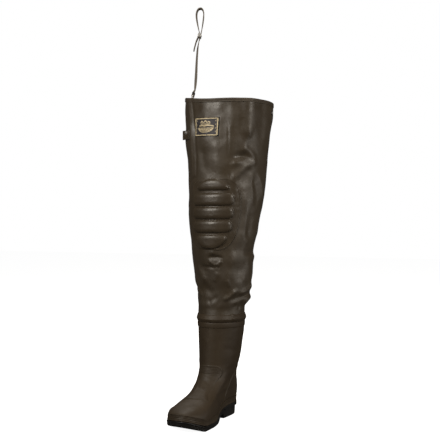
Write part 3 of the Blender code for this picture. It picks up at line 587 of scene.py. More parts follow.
legSections = (  # z, x, y, halfWidth, halfDepth, square
    (248, 7.0, -17.0, 59.0, 69.0, 2.00),
    (286, 7.0, -15.0, 60.0, 66.0, 2.00),
    (307, 9.0, -11.0, 66.0, 70.0, 2.05),
    (328, 10.5, -8.0, 68.5, 73.0, 2.05),
    (349, 9.5, -8.0, 73.0, 76.0, 2.05),
    (370, 10.0, -8.0, 75.0, 78.0, 2.05),
    (412, 8.0, -9.0, 79.5, 82.0, 2.05),
    (433, 6.5, -9.0, 81.0, 83.5, 2.05),
    (475, 9.0, -6.0, 87.5, 88.0, 2.05),
    (528, 11.0, -3.0, 94.0, 92.0, 2.05),
    (591, 13.0, 2.5, 99.5, 96.0, 2.10),
    (665, 14.0, 6.0, 105.0, 99.0, 2.15),
    (718, 14.0, 7.0, 110.0, 100.0, 2.20),
    (791, 15.0, 13.0, 115.0, 102.0, 2.20),
    (835, 16.0, 13.0, 115.0, 102.0, 2.20),
)
# main folds of the leg, near those of the frame, some softer and some moved
legFolds = (  # angle, z, spread, reach, depth, lean
    (207, 735, 4.5, 95, -4.5, -0.02),
    (196, 735, 6.0, 100, 2.0, -0.02),
    (300, 772, 9.0, 34, 2.5, 0.0),
    (311, 669, 10.0, 9, -4.5, 0.15),
    (306, 651, 10.0, 9, 3.5, 0.10),
    (335, 590, 5.0, 40, 2.5, -0.10),
    (281, 412, 9.0, 6, -2.6, 0.0),
    (2, 423, 20.0, 7, -2.5, 0.0),
    (16, 411, 20.0, 7, 2.0, 0.0),
    (190, 328, 26.0, 10, -2.0, 0.0),
    (322, 314, 20.0, 8, -1.6, 0.10),
    (10, 305, 24.0, 9, 3.0, 0.10),
    (80, 300, 45.0, 9, 5.0, 0.0),
    (95, 322, 40.0, 7, -3.5, 0.0),
    (60, 352, 34.0, 8, -3.0, 0.1),
    (120, 470, 26.0, 12, -4.0, 0.15),
    (70, 500, 28.0, 10, -4.0, -0.15),
    (95, 530, 30.0, 12, 3.0, 0.0),
)
legCreases = (  # angle, z, angle, z, bow, width, depth
    # the long crease on the outer side and the rounded strip behind it
    (233, 838, 245, 722, 3.0, 3.6, -1.5),
    (245, 746, 242, 604, 2.0, 3.6, -1.7),
    (224, 836, 237, 726, 3.0, 7.0, 2.4),
    (237, 750, 232, 612, 2.0, 7.0, 2.4),
    (243, 616, 222, 598, -3.0, 5.0, -2.2),
    # thigh, seen from the front
    (290, 752, 293, 652, 1.0, 2.6, -0.8),
    (262, 816, 268, 690, -4.0, 17.0, 2.6),
    (286, 812, 284, 700, 2.0, 13.0, -1.8),
    (274, 706, 278, 626, 2.0, 15.0, 2.8),
    (256, 690, 258, 630, 2.0, 10.0, -1.6),
    (317, 830, 321, 712, 2.0, 21.0, 8.0),
    (302, 816, 304, 716, 2.0, 14.0, -1.6),
    (321, 742, 312, 672, 3.0, 9.0, 3.0),
    (313, 690, 338, 646, 7.0, 9.0, 3.0),
    (337, 656, 301, 600, -9.0, 9.0, 3.4),
    (292, 650, 326, 668, 3.0, 8.0, -1.4),
    (301, 624, 308, 570, 1.0, 5.0, 2.4),
    (295, 628, 301, 580, 1.0, 5.0, -1.8),
    (328, 640, 316, 592, -3.0, 12.0, -2.6),
    (345, 628, 366, 556, 4.0, 8.0, 3.4),
    (332, 616, 352, 546, 4.0, 11.0, -3.0),
    (342, 816, 346, 690, 3.0, 15.0, -2.6),
    # knee and calf, seen from the front
    (324, 575, 330, 470, 5.0, 12.0, 2.4),
    (340, 530, 346, 455, -3.0, 12.0, -2.0),
    (322, 474, 345, 440, 3.0, 10.0, 1.0),
    (277, 442, 277, 418, 0.5, 7.0, 1.6),
    (266, 412, 295, 411, 2.0, 4.8, -1.8),
    (268, 405, 281, 391, -1.0, 4.0, 2.2),
    (293, 405, 281, 391, 1.0, 4.0, 2.2),
    (248, 388, 281, 386, 1.0, 4.0, -1.8),
    (280, 390, 288, 384, 0.5, 3.4, -1.2),
    (324, 430, 297, 340, -3.0, 12.0, 2.6),
    (344, 404, 322, 346, 2.0, 13.0, -1.0),
    (283, 376, 276, 350, 1.0, 7.0, 1.4),
    (300, 356, 306, 336, 1.0, 5.0, 1.3),
    (240, 402, 262, 375, -3.0, 9.0, -2.0),
    (235, 380, 262, 352, -3.0, 9.0, 2.0),
    (246, 347, 275, 320, -3.0, 10.0, -1.2),
    # the folds that gather over the joint band
    (324, 330, 296, 304, 2.0, 6.5, 3.6),
    (376, 341, 331, 318, 3.0, 8.0, 3.8),
    (366, 323, 308, 303, 3.0, 6.5, -3.8),
    (405, 312, 344, 289, -3.0, 7.5, 3.6),
    (364, 302, 354, 268, 2.0, 6.5, 3.4),
    (346, 300, 340, 272, 2.0, 5.0, -2.4),
    (222, 290, 318, 290, 0.0, 11.0, 1.5),
    (331, 294, 323, 272, 1.0, 6.0, -1.2),
    (286, 316, 260, 296, 1.0, 7.0, -1.3),
    (280, 300, 248, 286, 1.0, 7.0, 0.6),
    (215, 332, 246, 312, 1.0, 7.0, 2.6),
    (205, 314, 236, 296, 1.0, 6.0, -2.6),
    # outer side and back, which the photograph doesn't show
    (196, 700, 202, 560, 4.0, 9.0, -3.2),
    (184, 640, 196, 520, 4.0, 10.0, 3.0),
    (150, 800, 156, 660, 4.0, 12.0, -3.4),
    (118, 790, 124, 650, -4.0, 12.0, 3.2),
    (85, 800, 82, 640, 4.0, 12.0, -3.2),
    (50, 790, 46, 660, -4.0, 11.0, 3.0),
    (20, 770, 24, 660, 3.0, 10.0, -2.6),
    (150, 585, 60, 560, 10.0, 8.0, 3.2),
    (145, 560, 75, 538, 8.0, 7.0, -3.2),
    (140, 520, 50, 545, -8.0, 8.0, 3.0),
    (130, 500, 60, 480, 6.0, 7.0, -3.4),
    (120, 478, 40, 500, -6.0, 8.0, 2.8),
    (160, 470, 100, 440, 6.0, 8.0, 2.6),
    (30, 470, 80, 440, -6.0, 8.0, -2.8),
    (170, 420, 110, 395, 6.0, 8.0, -2.6),
    (60, 420, 120, 380, -6.0, 9.0, 2.6),
    (20, 400, 60, 366, -5.0, 8.0, -2.8),
    (150, 360, 60, 345, 6.0, 7.0, 3.2),
    (170, 340, 90, 330, -5.0, 6.0, -3.2),
    (150, 316, 40, 318, 4.0, 6.0, 3.2),
    (100, 302, 30, 306, 3.0, 5.0, -3.0),
    (170, 300, 120, 290, 3.0, 6.0, 2.8),
)


def legSection(z):
    heights = [row[0] for row in legSections]
    at = np.interp(z, heights, range(len(heights)))
    return np.moveaxis(throughRows(legSections, at), -1, 0)


def signedPower(value, exponent):
    return np.sign(value) * np.abs(value) ** exponent


def legNormal(angle, z):
    row = legSection(z)
    a = np.radians(angle)
    back = 2.0 - 2.0 / row[5]
    nx = signedPower(np.cos(a), back) / row[3]
    ny = signedPower(np.sin(a), back) / row[4]
    size = np.hypot(nx, ny)
    return np.stack((nx / size, ny / size, 0.0 * nx), axis=-1)


legSurface = {
    "girthHeights": (250, 350, 530, 800), "girthRadii": (62, 74, 92, 108),
    "low": 248.0, "tall": 590.0, "sag": 1.8, "wrinkle": 0.7, "pucker": 0.13,
    "padAngle": 272.0, "padZ": 521.0, "padHalfAngle": 46.0, "padHalfHeight": 92.0,
}


def legRelief(angle, z):
    s = legSurface
    main = np.zeros(np.shape(angle + z))
    for middle, height, spread, reach, depth, lean in legFolds:
        off = turnFrom(angle - middle - lean * (z - height), 0.0)
        main = main + depth * np.exp(-(off / spread) ** 2 - ((z - height) / reach) ** 2)
    fine = np.zeros_like(main)
    for row in legCreases:
        radius = float(np.interp((row[1] + row[3]) / 2, s["girthHeights"], s["girthRadii"]))
        fine = fine + creaseDepth(angle, z, row, radius)
    around = (angle / 360.0) % 1.0
    up = np.clip((z - s["low"]) / s["tall"], 0, 1)
    drift = 0.03 * softNoise(around, up, 9, 12, 6)
    fine = fine + s["sag"] * softNoise(around, np.clip(up + drift, 0, 1), 11, 9, 7)
    wrinkle = s["wrinkle"] * softNoise((around + drift) % 1.0, up, 28, 26, 8)
    fine = fine + wrinkle + s["pucker"] * softNoise(around, up, 70, 60, 9)
    # smoother behind the knee pad and under the collar's binding
    padAway = np.abs(turnFrom(angle, s["padAngle"]) / s["padHalfAngle"])
    padAway = np.maximum(padAway, np.abs((z - s["padZ"]) / s["padHalfHeight"]))
    fine = fine * (0.25 + 0.75 * smoothStep((padAway - 0.85) / 0.25))
    fine = fine * smoothStep((835.0 - z) / 30.0 + 0.25)
    return (main + fine) * smoothStep((z - 270.0) / 20.0)


def legPoint(angle, z, out=0.0):
    angle, z = np.broadcast_arrays(np.asarray(angle, float), np.asarray(z, float))
    row = legSection(z)
    a = np.radians(angle)
    bend = 2.0 / row[5]
    x = row[1] + row[3] * signedPower(np.cos(a), bend)
    y = row[2] + row[4] * signedPower(np.sin(a), bend)
    normal = legNormal(angle, z)
    lift = np.broadcast_to(out, angle.shape) + legRelief(angle, z)
    return np.stack((x, y, z + 0.0), axis=-1) + normal * lift[..., None]


def collarEdge(angle):
    a = np.radians(angle)
    outer = np.maximum(-np.cos(a), 0.0)
    inner = np.maximum(np.cos(a), 0.0)
    back = np.maximum(np.sin(a), 0.0)
    return 813.0 + 16.0 * outer ** 1.5 - 2.0 * inner ** 2 - 5.0 * back


# leg shell and its lining

leg = {"around": 330, "rows": 290, "liningAround": 180, "liningRows": 120, "wall": 1.8, "low": 248.3}


def buildLeg(s):
    angles = ringAngles(s["around"])[None, :]
    share = np.linspace(0, 1, s["rows"])[:, None]
    z = s["low"] + (collarEdge(angles) - s["low"]) * share
    shell = skin("legShell", legPoint(angles, z))
    place(shell, legCloth, "leg-upper")
    angles = ringAngles(s["liningAround"])[None, :]
    share = np.linspace(0, 1, s["liningRows"])[:, None]
    z = s["low"] + (collarEdge(angles) - s["low"]) * share
    inside = skin("legLining", legPoint(angles, z, -s["wall"])[::-1])
    place(inside, liningCloth, "leg-upper")
    print("leg built", len(shell.data.polygons))


buildLeg(leg)


# boot shell, its lining and the insole

boot = {"around": 380, "rows": 230, "liningAround": 150, "liningRows": 90, "wall": 3.0}


def buildBoot(s):
    top = len(bootLevels) - 1
    turns = ringTurns(s["around"])[None, :]
    levels = np.linspace(0, top, s["rows"])[:, None]
    shell = skin("bootShell", bootPoint(turns, levels, bootRelief(turns, levels)))
    place(shell, bootRubber, "boot-upper")
    turns = ringTurns(s["liningAround"])[None, :]
    levels = np.linspace(0, top, s["liningRows"])[:, None]
    inside = skin("bootLining", bootPoint(turns, levels, -s["wall"])[::-1])
    place(inside, liningCloth, "boot-upper")
    print("boot built", len(shell.data.polygons))


buildBoot(boot)

insoleShape = {
    "back": 37.0, "tip": -246.0, "heel": 37.0, "outer": 54.0, "inner": 50.0,
    "rounding": (38.0, 78.0, 58.0), "clearance": 4.1, "around": 160,
    "profile": (  # inset, lift
        (0.0, 0.3), (0.0, 2.2), (0.6, 2.8), (1.6, 3.0), (14.0, 2.9), (28.0, 2.7), (36.0, 2.7),
    ),
}


def buildInsole(s):
    turns = ringTurns(s["around"])
    rings = []
    for inset, lift in s["profile"]:
        c = s["clearance"] + inset
        x, y, _ = footPlan(turns, s["back"] - c, s["tip"] + c, s["heel"] - c, s["outer"] - c,
                           s["inner"] - c, *s["rounding"], 0.0)
        rings.append(np.stack((x, y, soleEdge(x, y) + lift), -1))
    grid = np.array(rings)
    faces = gridFaces(len(rings), s["around"], False, True)
    closeFlat(faces, (len(rings) - 1) * s["around"], s["around"])
    made = makeObject("insolePad", grid, faces)
    place(made, liningCloth, "insole")
    print("insole built")


buildInsole(insoleShape)


# overlays of the boot: the wall's own surface lifted where it lies inside an outline

overlays = {
    "toeCap": {
        "node": "toe-cap", "levels": (1.0, 4.8), "thick": 1.3, "edge": 1.6,
        "outline": ((-270, 10), (-207, 10), (-203, 28), (-197, 45), (-193, 62), (-187, 90),
                    (-270, 90)),
    },
    "heelCounter": {
        "node": "heel-counter", "levels": (1.0, 10.6), "thick": 1.2, "edge": 2.6,
        "outline": ((70, 20), (-66, 20), (-60, 60), (-47, 80), (-28, 100), (-2, 120), (26, 136),
                    (70, 142)),
    },
    "instepOverlay": {
        "node": "instep-overlay", "levels": (2.6, 10.8), "thick": 1.3, "edge": 1.6,
        "outline": ((-180, 78), (-160, 62), (-136, 74), (-112, 86), (-98, 95), (-86, 104),
                    (-77, 112), (-73, 118), (-72, 124), (-73.5, 130), (-77, 135), (-84, 139),
                    (-100, 142), (-180, 142)),
    },
}


def overlayRibs(name, y, z):
    if name == "instepOverlay":
        # fine ribs across its top and flex ridges down its outer side
        top = smoothStep((z - 113.0) / 4.0) * smoothStep((134.0 - z) / 3.0)
        low = smoothStep((104.0 - z) / 5.0) * smoothStep((z - 64.0) / 5.0)
        flex = np.sin((z * 0.8 - y * 0.6) * 2 * math.pi / 5.0)
        return 0.38 * top * np.sin(z * 2 * math.pi / 3.6) + 0.26 * low * flex
    if name == "heelCounter":
        return 0.12 * np.sin((z + y * 0.4) * 2 * math.pi / 6.0) * smoothStep((110.0 - z) / 20.0)
    return 0.0 * y


def buildOverlay(name, s):
    count = 460
    rows = int((s["levels"][1] - s["levels"][0]) * 22)
    turns = ringTurns(count)[None, :]
    levels = np.linspace(*s["levels"], rows)[:, None]
    here = bootSurface(turns, levels)
    y, z = here[..., 1], here[..., 2]
    # inside the outline and above the foxing band
    depth = np.minimum(polygonDepth(y, z, s["outline"]), (levels - 1.06) * 14.0)
    sunk = 0.7
    lift = -sunk + (s["thick"] + sunk) * smoothStep((depth + 1.0) / (s["edge"] * 2.0))
    lift = lift + 0.35 * bump(depth - 2.6, 1.1)
    lift = lift + overlayRibs(name, y, z) * smoothStep((depth - 2.5) / 2.0)
    grid = bootPoint(turns, levels, lift + bootRelief(turns, levels))
    faces = np.array(gridFaces(rows, count, False, True))
    keep = depth.reshape(-1)[faces].max(axis=1) > -1.0
    faces = faces[keep]
    used, index = np.unique(faces, return_inverse=True)
    made = makeObject(name, grid.reshape(-1, 3)[used], index.reshape(-1, 4).tolist(), None, None)
    place(made, overlayRubber, s["node"])
    print(name, "built", len(faces))


for overlayName, overlayValues in overlays.items():
    buildOverlay(overlayName, overlayValues)


# the brown band round the boot over the sole

foxingBand = {
    "low": 0.05, "high": 1.06, "thick": 1.9, "rib": 0.45, "flare": 2.1, "drop": 1.6,
    "profile": (  # share of the height, share of the thickness
        (0.0, 1.0), (0.02, 1.22), (0.08, 1.25), (0.14, 1.0), (0.2, 0.86), (0.34, 0.88), (0.5, 0.9),
        (0.66, 0.9), (0.78, 0.84), (0.84, 0.84), (0.9, 1.0), (0.95, 1.0), (0.985, 0.78), (1.0, 0.05),
    ),
}


def buildFoxing(s):
    turns = ringTurns(420)
    rings = []
    for share, lift in s["profile"]:
        level = s["low"] + (s["high"] - s["low"]) * share
        surface = bootSurface(turns, level)
        # ribs on the toe bumper
        toe = smoothStep((-196.0 - surface[:, 1]) / 14.0)
        ribs = 0.0
        if 0.1 < share < 0.85:
            ribs = s["rib"] * toe * np.sin(share * 2 * math.pi * 3.5)
        # its foot flares to the sole's edge at the forefoot
        flare = s["flare"] * smoothStep((-100.0 - surface[:, 1]) / 70.0)
        flare = flare * (1.0 - smoothStep(share / 0.7))
        ring = bootPoint(turns, level, s["thick"] * lift + ribs + flare + 0.12 * np.sin(turns * 9))
        ring[:, 2] -= s["drop"] * (1.0 - smoothStep(share / 0.08))
        rings.append(ring)
    # two more rings between each pair
    fine = []
    for low, high in zip(rings, rings[1:]):
        fine += [low + (high - low) * k / 3.0 for k in range(3)]
    fine.append(rings[-1])
    made = gridObject("foxingBand", np.array(fine), wrapColumns=True, smoothAngle=50)
    place(made, overlayRubber, "foxing")
    print("foxing built")


buildFoxing(foxingBand)


# outsole with its heel block, side step, ribs and lugs

soleShape = {
    "around": 300,
    "side": (  # inset, share of the height, lift, extra inset at the heel, rib
        (5.0, 0.00, 0.0, 3.0, 0.0), (3.2, 0.00, 0.0, 3.0, 0.0), (2.3, 0.00, 0.5, 3.0, 0.0),
        (1.8, 0.00, 1.6, 3.0, 0.3), (1.7, 0.20, 1.2, 2.9, 1.0), (1.6, 0.40, 1.0, 2.7, 1.0),
        (1.5, 0.60, 0.4, 2.5, 0.8), (1.4, 0.69, -0.2, 2.4, 0.0), (0.9, 0.71, 0.0, 1.4, 0.0),
        (0.6, 0.72, 0.4, 0.2, 0.0), (0.4, 0.74, 0.8, 0.0, 0.0), (0.4, 0.86, 0.0, 0.0, 0.0),
        (0.5, 1.00, -1.2, 0.0, 0.0), (0.7, 1.00, -0.7, 0.0, 0.0), (1.2, 1.00, -0.45, 0.0, 0.0),
        (1.6, 1.00, -0.4, 0.0, 0.0), (6.0, 1.00, -0.4, 0.0, 0.0),
    ),
    "grooves": [-104.0 - 13.0 * i for i in range(9)] + [10.0 - 16.0 * i for i in range(4)],
    "groove": 4.5, "grooveDepth": 4.0, "grooveBend": -3.0, "edge": 8.0, "steps": 9, "sharp": 32,
}


def solePlan(turn, inset):
    return footPlan(turn, sole["back"] - inset, sole["tip"] + inset, sole["heel"] - inset,
                    sole["outer"] - inset, sole["inner"] - inset, *sole["rounding"], 0.0)


def lugGrooves(s):
    # bars that cut the grooves between the lugs, one after another along the sole
    points, faces = [], []
    for y in s["grooves"]:
        turn = math.acos(1.0 - 2.0 * (sole["back"] - y) / (sole["back"] - sole["tip"]))
        lowX = float(solePlan(turn, s["edge"])[0])
        highX = float(solePlan(2 * math.pi - turn, s["edge"])[0])
        start = len(points)
        for k in range(s["steps"]):
            share = k / (s["steps"] - 1)
            x = lowX + (highX - lowX) * share
            bend = s["grooveBend"] * math.sin(math.pi * share)
            roof = float(soleBottom(x, y)) + s["grooveDepth"]
            for side, z in ((-0.62, -5.0), (0.62, -5.0), (0.62, roof - s["grooveDepth"]),
                            (0.42, roof), (-0.42, roof), (-0.62, roof - s["grooveDepth"])):
                points.append((x, y + bend + s["groove"] * side, z))
        bar = gridFaces(s["steps"], 6, False, True)
        closeEnds(bar, s["steps"], 6)
        faces += [[start + corner for corner in face] for face in bar]
    return makeObject("lugCutter", points, faces, None, 20)


def buildSole(s):
    count = s["around"]
    turns = ringTurns(count)
    rings = []
    for inset, share, lift, heelInset, rib in s["side"]:
        y = solePlan(turns, inset)[1]
        atHeel = 1.0 - smoothStep((-48.0 - y) / 25.0)
        ribs = rib * 0.45 * np.sin(y * 2 * math.pi / 7.0)
        ribs = ribs * smoothStep((np.abs(np.sin(turns)) - 0.2) / 0.2)
        x, y, _ = solePlan(turns, inset + heelInset * atHeel + ribs)
        low = soleBottom(x, y)
        rings.append(np.stack((x, y, low + (soleEdge(x, y) - low) * share + lift), -1))
    faces = gridFaces(len(rings), count, False, True)
    closeFlat(faces, 0, count)
    closeFlat(faces, (len(rings) - 1) * count, count)
    made = makeObject("outsoleBody", np.array(rings), faces, None, s["sharp"])
    cutter = lugGrooves(s)
    cut = made.modifiers.new("lugCut", "BOOLEAN")
    cut.operation = "DIFFERENCE"
    cut.solver = "EXACT"
    cut.object = cutter
    bpy.context.view_layer.objects.active = made
    bpy.ops.object.modifier_apply(modifier=cut.name)
    bpy.data.objects.remove(cutter, do_unlink=True)
    made.data.shade_smooth()
    made.data.set_sharp_from_angle(angle=math.radians(s["sharp"]))
    place(made, soleRubber, "outsole")
    print("outsole built", len(made.data.polygons))


buildSole(soleShape)


# rolled band and flat strip over the join of boot and leg

bands = {
    "rollLow": 246.6, "rollHeight": 19.4, "rollBulge": 3.4, "rollSpan": 19.0,
    "ridge": 1.2, "ridgeAt": 0.42,
    "lapAngle": 321.0, "lapLength": 34.0, "lapThick": 2.1, "lapRise": 4.5, "lapSeam": 0.8,
    "stripLow": 231.9, "stripHeight": 14.6, "stripThick": 1.8, "around": 420,
}


def bandProfile(share, bulge):
    return bulge * (np.sin(math.pi * np.clip(share, 0, 1)) ** 0.42)


def buildRoll(s):
    angles = ringAngles(s["around"])
    around = angles / 360.0
    flat = around * 0
    wobble = 0.35 * softNoise(around, flat, 16, 2, 21) + 0.2 * softNoise(around, flat, 44, 2, 22)
    # the roll's end laps over its start on the inner front
    past = turnFrom(angles, s["lapAngle"])
    lap = np.where(past > 0, 1.0, 0.0) * smoothStep((s["lapLength"] - past) / 28.0)
    lap = lap * smoothStep(past / 2.4)
    normal = legNormal(angles, np.full_like(angles, 250.0))
    rings = []
    for share in np.linspace(0, 1, 26):
        z = s["rollLow"] + s["rollHeight"] * share + 0.5 * softNoise(around, flat, 12, 2, 23) * share
        z = z + s["lapRise"] * share * lap * bump(past, 6.0)
        out = -0.4 + bandProfile(share, s["rollBulge"] + wobble)
        out = out + s["lapThick"] * lap * bandProfile(share, 1.0)
        out = out + s["ridge"] * bump((share - s["ridgeAt"]) * s["rollSpan"], 3.4)
        seam = (share - 0.62 + 0.10 * smoothStep(past / 25.0)) * s["rollSpan"]
        out = out - s["lapSeam"] * bump(seam, 1.1) * lap
        ring = legPoint(angles, max(z.min(), 248.0)) + normal * out[:, None]
        ring[:, 2] = z
        rings.append(ring)
    place(skin("cuffRoll", rings), bootRubber, "cuff-roll")


def buildStrip(s):
    turns = ringTurns(s["around"])
    uneven = 0.18 * softNoise(turns / (2 * math.pi), turns * 0, 18, 2, 25)
    rings = []
    for share in np.linspace(0, 1, 16):
        level = 13.0 + (s["stripLow"] + s["stripHeight"] * share - 220.0) / 28.0
        lift = -0.3 + s["stripThick"] * np.sin(math.pi * share) ** 0.22 + uneven
        rings.append(bootPoint(turns, np.full_like(turns, level), lift))
    place(skin("jointBand", rings), bootRubber, "joint-strip")
    print("bands built")


buildRoll(bands)
buildStrip(bands)


# binding over the collar, with its row of stitches

stitchForm = (  # share of the stitch, share of its radius, lift
    (0, 0.35, -0.25), (0.15, 0.9, 0.1), (0.5, 1.0, 0.3), (0.85, 0.9, 0.1), (1, 0.35, -0.25),
)


def stitches(name, points, normals, node, radius=0.35, share=0.62):
    # short raised threads between neighbouring points
    made, faces = [], []
    sides = 6
    for i in range(len(points) - 1):
        a, b = np.array(points[i]), np.array(points[i + 1])
        middle = (a + b) / 2
        a = middle + (a - middle) * share
        b = middle + (b - middle) * share
        along = (b - a) / np.linalg.norm(b - a)
        up = np.array(normals[i], float)
        across = np.cross(along, up)
        start = len(made)
        for t, thick, lift in stitchForm:
            centre = a + (b - a) * t + up * lift
            for n in range(sides):
                c = 2 * math.pi * n / sides
                made.append(centre + (across * math.cos(c) + up * math.sin(c)) * radius * thick)
        one = gridFaces(len(stitchForm), sides, False, True)
        closeEnds(one, len(stitchForm), sides)
        faces += [[start + corner for corner in face] for face in one]
    place(makeObject(name, made, faces, None, None), thread, node)


binding = {
    "around": 420, "stitchCount": 190, "stitchDrop": 4.6,
    "profile": (  # out from the wall, up from the collar's edge
        (-0.2, -8.2), (0.9, -8.1), (1.4, -7.4), (1.5, -5.5), (1.15, -4.6), (1.35, -3.6), (1.7, -2.0),
        (1.75, -0.6), (1.4, 0.8), (0.6, 1.7), (-0.9, 2.1), (-2.4, 1.7), (-3.2, 0.8), (-3.5, -0.6),
        (-3.4, -4.0), (-3.1, -7.6), (-1.7, -8.2),
    ),
}


def buildBinding(s):
    angles = ringAngles(s["around"])
    around = angles / 360.0
    uneven = 0.25 * softNoise(around, around * 0, 30, 2, 31)
    profile = throughRows(s["profile"], np.linspace(0, len(s["profile"]) - 1, 44))
    rings = []
    for out, lift in profile:
        z = collarEdge(angles) + lift + uneven * (0.6 if lift > 0 else 1.0)
        rings.append(legPoint(angles, z, out))
    place(skin("collarTape", rings), bindingRubber, "collar-binding")
    angles = np.linspace(0, 360, s["stitchCount"] + 1)
    points = legPoint(angles, collarEdge(angles) - s["stitchDrop"], 1.25)
    normals = legNormal(angles, points[:, 2])
    stitches("collarStitches", points, normals, "collar-binding")
    print("binding built")


buildBinding(binding)


# knee pad

pad = {
    "angle": 272.0, "low": 429.0, "high": 614.0, "half": 47.0, "columns": 240, "rows": 290,
    "base": 1.3, "rib": 5.0, "corner": 11.0,
    "ribs": (  # low, high, half angle, dome of the top edge, dome of the bottom edge
        (434.0, 469.5, 28.0, 2.0, 21.0),
        (474.5, 505.5, 34.0, 1.0, 2.5),
        (509.0, 539.7, 34.5, 1.0, 2.0),
        (543.0, 574.5, 33.5, 1.5, 1.5),
        (582.0, 609.0, 26.0, 19.0, 0.0),
    ),
}


def padPlan(s, z, least):
    # share of the way from the pad's middle to its top or bottom, and half its width there
    up = np.abs((z - (s["low"] + s["high"]) / 2) / ((s["high"] - s["low"]) / 2))
    return up, s["half"] * np.maximum(1.0 - np.minimum(up, 1.0) ** 3.0, least) ** 0.33


def padHeight(s, off, z):
    up, reach = padPlan(s, z, 0.0)
    edge = np.minimum((reach - np.abs(off)) * 1.6, (1.0 - up) * 92.0)
    rim = smoothStep((off + 10.0) / 30.0)
    sunk = 0.8
    height = -sunk + (s["base"] + sunk) * smoothStep((edge + 0.6) / (8.0 - 4.5 * rim))
    height = height + 0.45 * rim * bump(edge - 3.4, 1.6)
    for low, high, half, domeTop, domeLow in s["ribs"]:
        side = np.abs(off) / half
        top = high - domeTop * side ** 2.4
        bottom = low + domeLow * side ** 2.6
        upright = np.minimum(top - z, z - bottom)
        sideways = (half - np.abs(off)) * 1.6
        # pillows: rounded corners, steep soft edges and a gently domed face
        nearest = np.minimum(upright, sideways)
        corner = s["corner"] - np.hypot(np.maximum(s["corner"] - upright, 0.0),
                                        np.maximum(s["corner"] - sideways, 0.0))
        inside = np.where(nearest < 0, nearest, corner)
        pillow = roundedEnd(np.maximum(inside, 0.0), s["corner"])
        height = height + s["rib"] * pillow + 0.4 * smoothStep((inside + 1.2) / 1.2)
    return height


def buildPad(s):
    across = np.linspace(-1, 1, s["columns"])[None, :]
    z = np.linspace(s["low"] + 0.2, s["high"] - 0.2, s["rows"])[:, None] + 0 * across
    off = across * (padPlan(s, z, 0.02)[1] + 1.0)
    uneven = 0.1 * softNoise((off + 60) / 120, (z - 420) / 200, 20, 30, 41, False)
    grid = legPoint(s["angle"] + off, z, padHeight(s, off, z) + uneven)
    made = gridObject("kneeGuard", grid, smoothAngle=None)
    place(made, padRubber, "knee-pad")
    print("knee pad built")


buildPad(pad)


# badge: black back, widened at the right as a painted shadow, slate field, a gold border, and peaks
# and banks over a bowl of water

badge = {
    "angle": 262.0, "z": 743.0, "width": 61.0, "height": 49.0, "tilt": -0.03,
    "backOut": 1.2, "fieldOut": 1.38, "borderOut": 1.62, "goldOut": 1.66, "waveOut": 1.9,
    "tickOut": 1.55,
    "banks": (
        ("badgeBank", 3.4, ((-15.5, 2.6), (-8, 3.4), (0, 2.4), (9, 3.6), (19.5, 1.4))),
        ("badgeFarBank", 2.0, ((-11.0, 7.0), (-5, 7.6), (3, 6.8), (12.5, 7.4))),
    ),
    "peaks": (
        ((-11.5, 10.0), (-8.0, 14.4), (-4.6, 10.4)), ((-3.0, 10.2), (1.5, 15.4), (5.0, 10.6)),
        ((6.4, 10.4), (9.2, 13.2), (12.4, 10.2)),
    ),
    "waves": ((-4.6, 15.5), (-8.4, 13.5), (-11.8, 9.5)),
}


def badgePoint(across, up, out):
    s = badge
    across, up = np.broadcast_arrays(np.asarray(across, float), np.asarray(up, float))
    angle = s["angle"] + np.degrees(across / 105.0)
    return legPoint(angle, s["z"] + up + across * s["tilt"], out)


def badgePlate(name, outline, out, look):
    # a thin draped plate from rows of left and right ends, its rim sunk into the cloth
    left, right, up = np.array(outline, float).T
    across = np.linspace(left, right, 40, axis=1)
    lift = np.full(across.shape, out)
    lift[[0, -1]] = -0.3
    lift[:, [0, -1]] = -0.3
    made = gridObject(name, badgePoint(across, up[:, None], lift), smoothAngle=60)
    place(made, look, "badge")


def badgeLine(name, lines, width, out, look):
    # raised printed lines; each is a row of points across and up
    points, faces = [], []
    for line in lines:
        line = throughRows(line, np.linspace(0, len(line) - 1, 8 * len(line)))
        along = np.gradient(line, axis=0)
        along /= np.linalg.norm(along, axis=1)[:, None]
        side = np.stack((-along[:, 1], along[:, 0]), -1)
        start = len(points)
        for share, lift in ((-0.5, out - 0.25), (-0.38, out), (0.38, out), (0.5, out - 0.25)):
            printed = line + side * width * share
            points.extend(badgePoint(printed[:, 0], printed[:, 1], lift))
        faces += [[start + corner for corner in face] for face in gridFaces(4, len(line))]
    made = makeObject(name, points, faces, None, 60)
    place(made, look, "badge")


